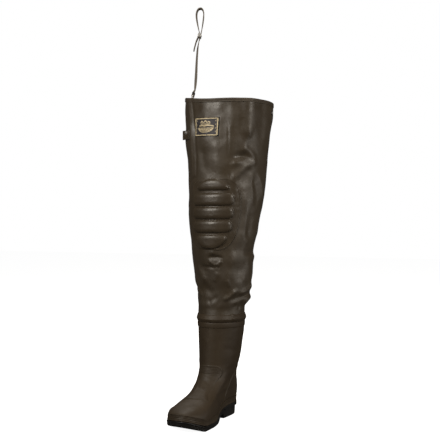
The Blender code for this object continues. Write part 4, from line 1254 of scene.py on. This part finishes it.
def buildBadge(s):
    w, h = s["width"] / 2, s["height"] / 2
    rows = np.concatenate([[-h, -h + 0.15], np.linspace(-h + 0.8, h - 0.8, 34), [h - 0.15, h]])
    # the badge's own black edge, reaching 1 mm further at the right than at the left: that extra
    # strip is a painted shadow beside the badge
    badgePlate("badgeBackAndPaintedShadow", [(-w, w + 1.0, up) for up in rows], s["backOut"], blackEdge)
    rows = np.concatenate([[-h + 2.6], np.linspace(-h + 3, h - 3, 32), [h - 2.6]])
    badgePlate("badgeField", [(-w + 2.6, w - 2.6, up) for up in rows], s["fieldOut"], slate)
    x, y = w - 3.3, h - 3.3
    edges = [((-x, -y), (0.0, -y), (x, -y)), ((x, -y), (x, 0.0), (x, y)),
             ((x, y), (0.0, y), (-x, y)), ((-x, y), (-x, 0.0), (-x, -y))]
    badgeLine("badgeBorder", edges, 2.5, s["borderOut"], goldPrint)
    rows = []
    for t in np.linspace(0, 1, 20):
        reach = 18.5 * math.sqrt(max(1 - (0.16 + 0.84 * t) ** 2.6, 0.0)) + 0.4
        rows.append((-reach - 1.0 * (1 - t), reach + 2.0 * (1 - t), -1.6 - 13.6 * t))
    badgePlate("badgeWater", rows, s["goldOut"], goldPrint)
    for name, width, line in s["banks"]:
        badgeLine(name, [line], width, s["goldOut"], goldPrint)
    badgeLine("badgePeaks", s["peaks"], 2.6, s["goldOut"], goldPrint)
    waves = [[(-reach + 2 * reach * k / 8, up + (0.9 if k % 2 else -0.9)) for k in range(9)]
             for up, reach in s["waves"]]
    badgeLine("badgeWaves", waves, 1.3, s["waveOut"], slate)
    ticks = []
    for t in range(4):
        y = -14 + 9.3 * t
        ticks.append(((-w + 6.5, y), (-w + 7.4, y + 1.6), (-w + 6.5, y + 3.2)))
        ticks.append(((w - 6.5, y), (w - 7.4, y + 1.6), (w - 6.5, y + 3.2)))
    badgeLine("badgeTicks", ticks, 1.0, s["tickOut"], goldPrint)
    print("badge built")


buildBadge(badge)


# strap, ring, keeper, slide and anchor tab

viewTurn = math.radians(25.0)
acrossView = np.array((math.sin(viewTurn), -math.cos(viewTurn), 0.0))
sideView = np.array((math.cos(viewTurn), math.sin(viewTurn), 0.0))
upward = np.array((0.0, 0.0, 1.0))
strap = {
    "anchorAngle": 170.0, "ringOut": 8.0, "ringUp": 8.0, "ringHeight": 9.0, "wire": 1.4,
    "lean": math.radians(16.0), "width": 22.0, "thick": 2.2, "corner": 0.75, "play": 0.3,
    "loopUp": 3.6, "loopLeft": 2.6, "tailOut": 2.6,
    "twists": ((0.385, 0.28, 0.045), (0.45, 0.15, 0.04), (0.60, 0.13, 0.045), (0.81, -0.13, 0.05)),
    "route": (
        (-71.5, 874), (-69.8, 900), (-68.0, 940), (-65.6, 972), (-62.2, 992), (-59.6, 1001.5),
        (-56.2, 1014.5), (-52.6, 1029), (-48.5, 1046), (-46.5, 1060), (-47.0, 1070),
        (-50.5, 1077), (-55.5, 1078.5), (-61.0, 1076), (-65.0, 1068), (-66.0, 1056), (-64.8, 1041),
        (-62.6, 1026), (-60.6, 1014.5), (-64.0, 1001.5), (-66.8, 992), (-71.4, 980), (-76.0, 967),
    ),
}


# the collar's edge at the strap, the ring's lower and upper bars, and the way the ring leans
anchorHeight = float(collarEdge(strap["anchorAngle"]))
anchorBase = legPoint(strap["anchorAngle"], anchorHeight)
anchorOut = legNormal(strap["anchorAngle"], np.array(anchorHeight))
leanUp = sideView * math.sin(strap["lean"]) + upward * math.cos(strap["lean"])
leanOut = upward * math.sin(strap["lean"]) - sideView * math.cos(strap["lean"])
ringBar = anchorBase + anchorOut * strap["ringOut"] + upward * strap["ringUp"]
ringTop = ringBar + leanUp * strap["ringHeight"]
strapDepth = float(ringTop @ acrossView)


def halfRound(bar, bend, step):
    # seven places half round a bar of the ring
    turns = [math.radians(step * i) for i in range(7)]
    return [bar + leanOut * bend * math.cos(turn) + leanUp * bend * math.sin(turn) for turn in turns]


anchor = {
    "width": 20.0, "thick": 1.9, "corner": 0.8, "bend": 1.2,
    # out and up from the collar's edge, first along the leg and then clear of it
    "onLeg": ((1.4, -36.0), (1.4, -16.0), (3.6, -10.0)), "clear": ((6.8, -4.5), (10.2, 1.5)),
    "box": ((-7, -33), (-7, -18), (7, -18), (7, -33), (-7, -33), (7, -18)), "stitch": 2.6,
}


def buildAnchor(s):
    bend = strap["wire"] + strap["play"] + s["bend"]
    angle = strap["anchorAngle"]
    along = np.array((-anchorOut[1], anchorOut[0], 0.0))
    path = [legPoint(angle, anchorHeight + up, out) for out, up in s["onLeg"]]
    path += [anchorBase + anchorOut * out + upward * up for out, up in s["clear"]]
    path += halfRound(ringBar, bend, 30.0) + [ringBar - leanOut * bend - leanUp * 2.4]
    turns = [0.0, 0.0, 0.1, 0.4, 0.8] + [1.0] * 8
    at = np.linspace(0, len(path) - 1, 70)
    turns = np.interp(at, range(len(turns)), turns)[:, None]
    across = along * (1 - turns) + acrossView * turns
    section = roundedBar(s["width"], s["thick"], s["corner"])
    made = sweep("anchorWebbing", throughRows(path, at), across, section)
    place(made, strapWebbing, "anchor-tab")
    # stitched box on the tab
    points = []
    for (a0, u0), (a1, u1) in zip(s["box"], s["box"][1:]):
        steps = max(int(math.hypot(a1 - a0, u1 - u0) / s["stitch"]), 2)
        for t in np.arange(steps) / steps:
            spot = legPoint(angle, anchorHeight + u0 + (u1 - u0) * t, 2.4)
            points.append(spot + along * (a0 + (a1 - a0) * t))
    stitches("anchorStitches", points, [anchorOut] * len(points), "anchor-tab", 0.3, 0.6)


ring = {"width": 30.0, "corner": 3.0}


def buildRing(s):
    centre = ringBar + leanUp * strap["ringHeight"] / 2
    outline = roundedBar(s["width"], strap["ringHeight"], s["corner"], 8)
    wire = [centre + acrossView * a + leanUp * b for a, b in outline]
    normal = np.cross(acrossView, leanUp)
    made = sweep("strapLoopRing", wire, [normal] * len(wire), circle(strap["wire"]), closed=True)
    place(made, nickel, "strap-ring")


def buildWebbing(s):
    bend = s["wire"] + s["play"] + s["thick"] / 2
    near = ((1.3, 14.0), (1.3, 6.0), (bend * 0.9, 2.0))
    path = [ringTop + leanOut * out + leanUp * up for out, up in near]
    path += halfRound(ringTop, bend, -30.0)
    path += [ringTop - leanOut * out + leanUp * up for out, up in near[::-1]]
    for i, (side, z) in enumerate(s["route"]):
        # the loop stands a little higher and the tail a little further out than the frame's
        loop = float(smoothStep((z - 1014.0) / 50.0))
        tail = float(smoothStep((i - 18.0) / 2.0)) * float(smoothStep((22.0 - i) / 2.0))
        side = side - s["loopLeft"] * loop - s["tailOut"] * tail
        path.append(sideView * side + acrossView * strapDepth + upward * (z + s["loopUp"] * loop))
    path = throughRows(path, np.linspace(0, len(path) - 1, 320))
    ends = np.linspace(0, 1, len(path))
    twist = sum(turn * bump(ends - middle, spread) for middle, turn, spread in s["twists"])[:, None]
    widths = acrossView * np.cos(twist) + sideView * np.sin(twist)
    made = sweep("beltStrap", path, widths, roundedBar(s["width"], s["thick"], s["corner"]))
    place(made, strapWebbing, "thigh-strap")


def sleeve(name, s, centre, across, through, up):
    # a flat tube that the strap runs through
    width, wall = strap["width"] + s["wider"], s["wall"]
    rings = []
    for less, lift in ((0.3, -0.5), (0.0, -0.42), (0.0, 0.42), (0.3, 0.5),
                       (wall - 0.3, 0.5), (wall, 0.42), (wall, -0.42), (wall - 0.3, -0.5)):
        corner = max(s["corner"] - less, 0.3)
        section = roundedBar(width - 2 * less, s["depth"] - 2 * less, corner, 5)
        rings.append([centre + across * a + through * b + up * lift * s["height"]
                      for a, b in section])
    return gridObject(name, np.array(rings), wrapRows=True, wrapColumns=True, smoothAngle=50)


slide = {
    "side": -60.1, "z": 1008.0, "slope": math.atan2(3.4, 13.0),
    "wider": 6.0, "depth": 9.4, "height": 9.4, "wall": 1.2, "corner": 0.6,
    "barWider": 4.0, "bar": (7.2, 1.0, 0.4),
}


def buildSlide(s):
    middle = sideView * s["side"] + acrossView * strapDepth + upward * s["z"]
    slideUp = sideView * math.sin(s["slope"]) + upward * math.cos(s["slope"])
    through = np.cross(acrossView, slideUp)
    made = sleeve("slideFrame", s, middle, acrossView, through, slideUp)
    place(made, nickel, "strap-slide")
    reach = (strap["width"] + s["barWider"]) / 2
    rod = [middle + acrossView * a for a in np.linspace(-reach, reach, 5)]
    made = sweep("slideBar", rod, [slideUp] * 5, roundedBar(*s["bar"]))
    place(made, nickel, "strap-slide")


keeper = {"up": 6.6, "wider": 3.6, "depth": 7.4, "height": 5.4, "wall": 1.2, "corner": 1.2}


def buildKeeper(s):
    made = sleeve("keeperSleeve", s, ringTop + leanUp * s["up"], acrossView, leanOut, leanUp)
    place(made, soleRubber, "strap-keeper")


buildAnchor(anchor)
buildRing(ring)
buildWebbing(strap)
buildSlide(slide)
buildKeeper(keeper)
print("strap and its fittings built")


# snap tab, its stud and the rivet on the inner side

def turnedPiece(name, centre, axis, profile, look, node, sides=28):
    # a turned metal piece from radius and height along its axis
    axis = np.array(axis, float)
    axis /= np.linalg.norm(axis)
    side = np.cross(axis, upward)
    side /= np.linalg.norm(side)
    other = np.cross(axis, side)
    profile = np.array(profile, float)
    turns = ringTurns(sides)[:, None]
    around = np.cos(turns) * side + np.sin(turns) * other
    grid = centre + around[None] * profile[:, :1, None] + axis * profile[:, 1:, None]
    faces = gridFaces(len(profile), sides, False, True)
    closeEnds(faces, len(profile), sides)
    place(makeObject(name, grid, faces, None, 35), look, node)


snap = {
    "z": 727.0, "angle": 229.0, "end": (-101.0, 22.0), "width": 24.0, "thick": 2.0, "corner": 0.9,
    "stitches": (
        ((0.02, -10.2), (0.93, -10.2)), ((0.93, -10.2), (0.93, 10.2)), ((0.93, 10.2), (0.02, 10.2)),
    ),
    "stud": ((4.3, 0.0), (4.3, 0.5), (3.9, 1.0), (3.1, 1.1), (2.8, 0.8), (2.6, 0.8),
             (2.5, 2.4), (2.1, 2.9), (1.2, 3.1), (0.3, 3.1)),
}


def buildSnap(s):
    start = legPoint(s["angle"], s["z"], 1.6)
    end = sideView * s["end"][0] + acrossView * s["end"][1] + upward * s["z"]
    path = [legPoint(s["angle"] + 6.0, s["z"], 1.6)]
    path += [start + (end - start) * t for t in (0.0, 0.5, 1.0)]
    path = throughRows(path, np.linspace(0, 3, 24))
    along = (end - start) / np.linalg.norm(end - start)
    outward = np.cross(along, upward)
    outward *= math.copysign(1.0, outward @ acrossView)
    section = roundedBar(s["width"], s["thick"], s["corner"])
    made = sweep("snapStrap", path, [upward] * len(path), section)
    place(made, legCloth, "snap-tab")
    points = []
    for a, b in s["stitches"]:
        for t in np.arange(9) / 9:
            share = a[0] + (b[0] - a[0]) * t
            up = a[1] + (b[1] - a[1]) * t
            points.append(start + (end - start) * share + upward * up + outward * 1.0)
    stitches("snapStitches", points, [outward] * len(points), "snap-tab", 0.3, 0.6)
    spot = start + (end - start) * 0.3 + outward * 0.9 + upward * 5.5
    turnedPiece("snapRing", spot, outward, s["stud"], nickel, "snap-stud")
    print("snap built")


buildSnap(snap)

rivet = {
    "angle": 8.0, "z": 785.0,
    "washer": ((5.6, -0.6), (5.6, 0.7), (5.2, 1.2), (4.3, 1.4), (3.9, 1.2)),
    "head": ((3.9, 0.0), (3.9, 0.8), (3.3, 1.3), (2.0, 1.5), (1.4, 1.1), (0.4, 1.0)),
}


def buildRivet(s):
    normal = legNormal(s["angle"], np.array(s["z"]))
    for name, out, look in (("washer", 0.0, blackEdge), ("head", 0.8, nickel)):
        spot = legPoint(s["angle"], s["z"], out)
        turnedPiece("rivet" + name.capitalize(), spot, normal, s[name], look, "inner-rivet")
    print("rivet built")


buildRivet(rivet)


# floor, light and camera

studio = {
    "floor": (0.90, 0.90, 0.895), "floorGlow": 0.95, "air": 0.035, "paper": 1.0,
    "warmth": (1.0, 0.945, 0.86), "lens": 68.4, "sensor": 36.0, "camera": (-4.6, 2200.0, 507.0),
    "lights": (  # name, azimuth, elevation, distance, width, aim height, power, height by width
        ("keyLeft", 250.0, 20.0, 2.5, 0.75, 0.80, 42.0, 1.5),
        ("sideRight", 339.0, 11.0, 2.4, 0.6, 0.92, 28.0, 1.3),
        ("lowRight", 12.0, 4.0, 2.3, 0.5, 0.14, 7.0, 1.0),
        ("topSoft", 290.0, 80.0, 2.4, 1.2, 0.5, 9.0, 1.0),
        ("backFill", 115.0, 52.0, 2.8, 1.4, 0.5, 30.0, 1.2),
    ),
}


def paperLook(name, colour, glow):
    look, nodes, links, shader = newLook(name)
    coords = nodes.new("ShaderNodeTexCoord").outputs["Object"]
    tone = noiseNode(nodes, links, coords, 3.0, 2.0)
    low = tuple(c * 0.99 for c in colour)
    links.new(rampNode(nodes, links, tone, ((0.3, low), (0.7, colour))), shader.inputs["Base Color"])
    shader.inputs["Roughness"].default_value = 0.9
    shader.inputs["Specular IOR Level"].default_value = 0.1
    shader.inputs["Emission Color"].default_value = (1, 1, 1, 1)
    shader.inputs["Emission Strength"].default_value = glow
    return look


def buildStudio(s):
    scene = bpy.context.scene
    corners = [(-9000, -4000, 0), (9000, -4000, 0), (9000, 9000, 0), (-9000, 9000, 0)]
    floor = makeObject("floorSheet", corners, [(0, 1, 2, 3)], None, None)
    floor.data.materials.append(paperLook("floorPaper", s["floor"], s["floorGlow"]))
    # the paper is lit to white, so it isn't let into the rubber's reflections
    floor.visible_glossy = False
    floor.visible_diffuse = False
    for name, azimuth, elevation, distance, size, aim, power, ratio in s["lights"]:
        data = bpy.data.lights.new(name, "AREA")
        data.shape = "RECTANGLE"
        data.size = size
        data.size_y = size * ratio
        data.energy = power
        data.color = s["warmth"]
        light = bpy.data.objects.new(name, data)
        a, e = math.radians(azimuth), math.radians(elevation)
        away = Vector((math.cos(a) * math.cos(e), math.sin(a) * math.cos(e), math.sin(e))) * distance
        light.location = away + Vector((0, 0, aim))
        light.rotation_euler = (-away).to_track_quat("-Z", "Y").to_euler()
        light.visible_camera = False
        scene.collection.objects.link(light)
    world = bpy.data.worlds.new("studioAir")
    world.use_nodes = True
    # white paper behind the wader, and only a little light from it
    nodes, links = world.node_tree.nodes, world.node_tree.links
    air = nodes["Background"]
    air.inputs["Color"].default_value = (1, 1, 1, 1)
    seen = nodes.new("ShaderNodeLightPath").outputs["Is Camera Ray"]
    strength = nodes.new("ShaderNodeMapRange")
    strength.inputs["To Min"].default_value = s["air"]
    strength.inputs["To Max"].default_value = s["paper"]
    links.new(seen, strength.inputs["Value"])
    links.new(strength.outputs["Result"], air.inputs["Strength"])
    scene.world = world
    scene.view_settings.view_transform = "Standard"
    data = bpy.data.cameras.new("shopCamera")
    data.lens = s["lens"]
    data.sensor_width = s["sensor"]
    data.dof.use_dof = False
    camera = bpy.data.objects.new("shopCamera", data)
    side, away, height = s["camera"]
    camera.location = Vector((sideView * side + acrossView * away + upward * height) * mm)
    camera.rotation_euler = (math.radians(90.0), 0.0, viewTurn)
    scene.collection.objects.link(camera)
    scene.camera = camera
    print("studio ready")


buildStudio(studio)
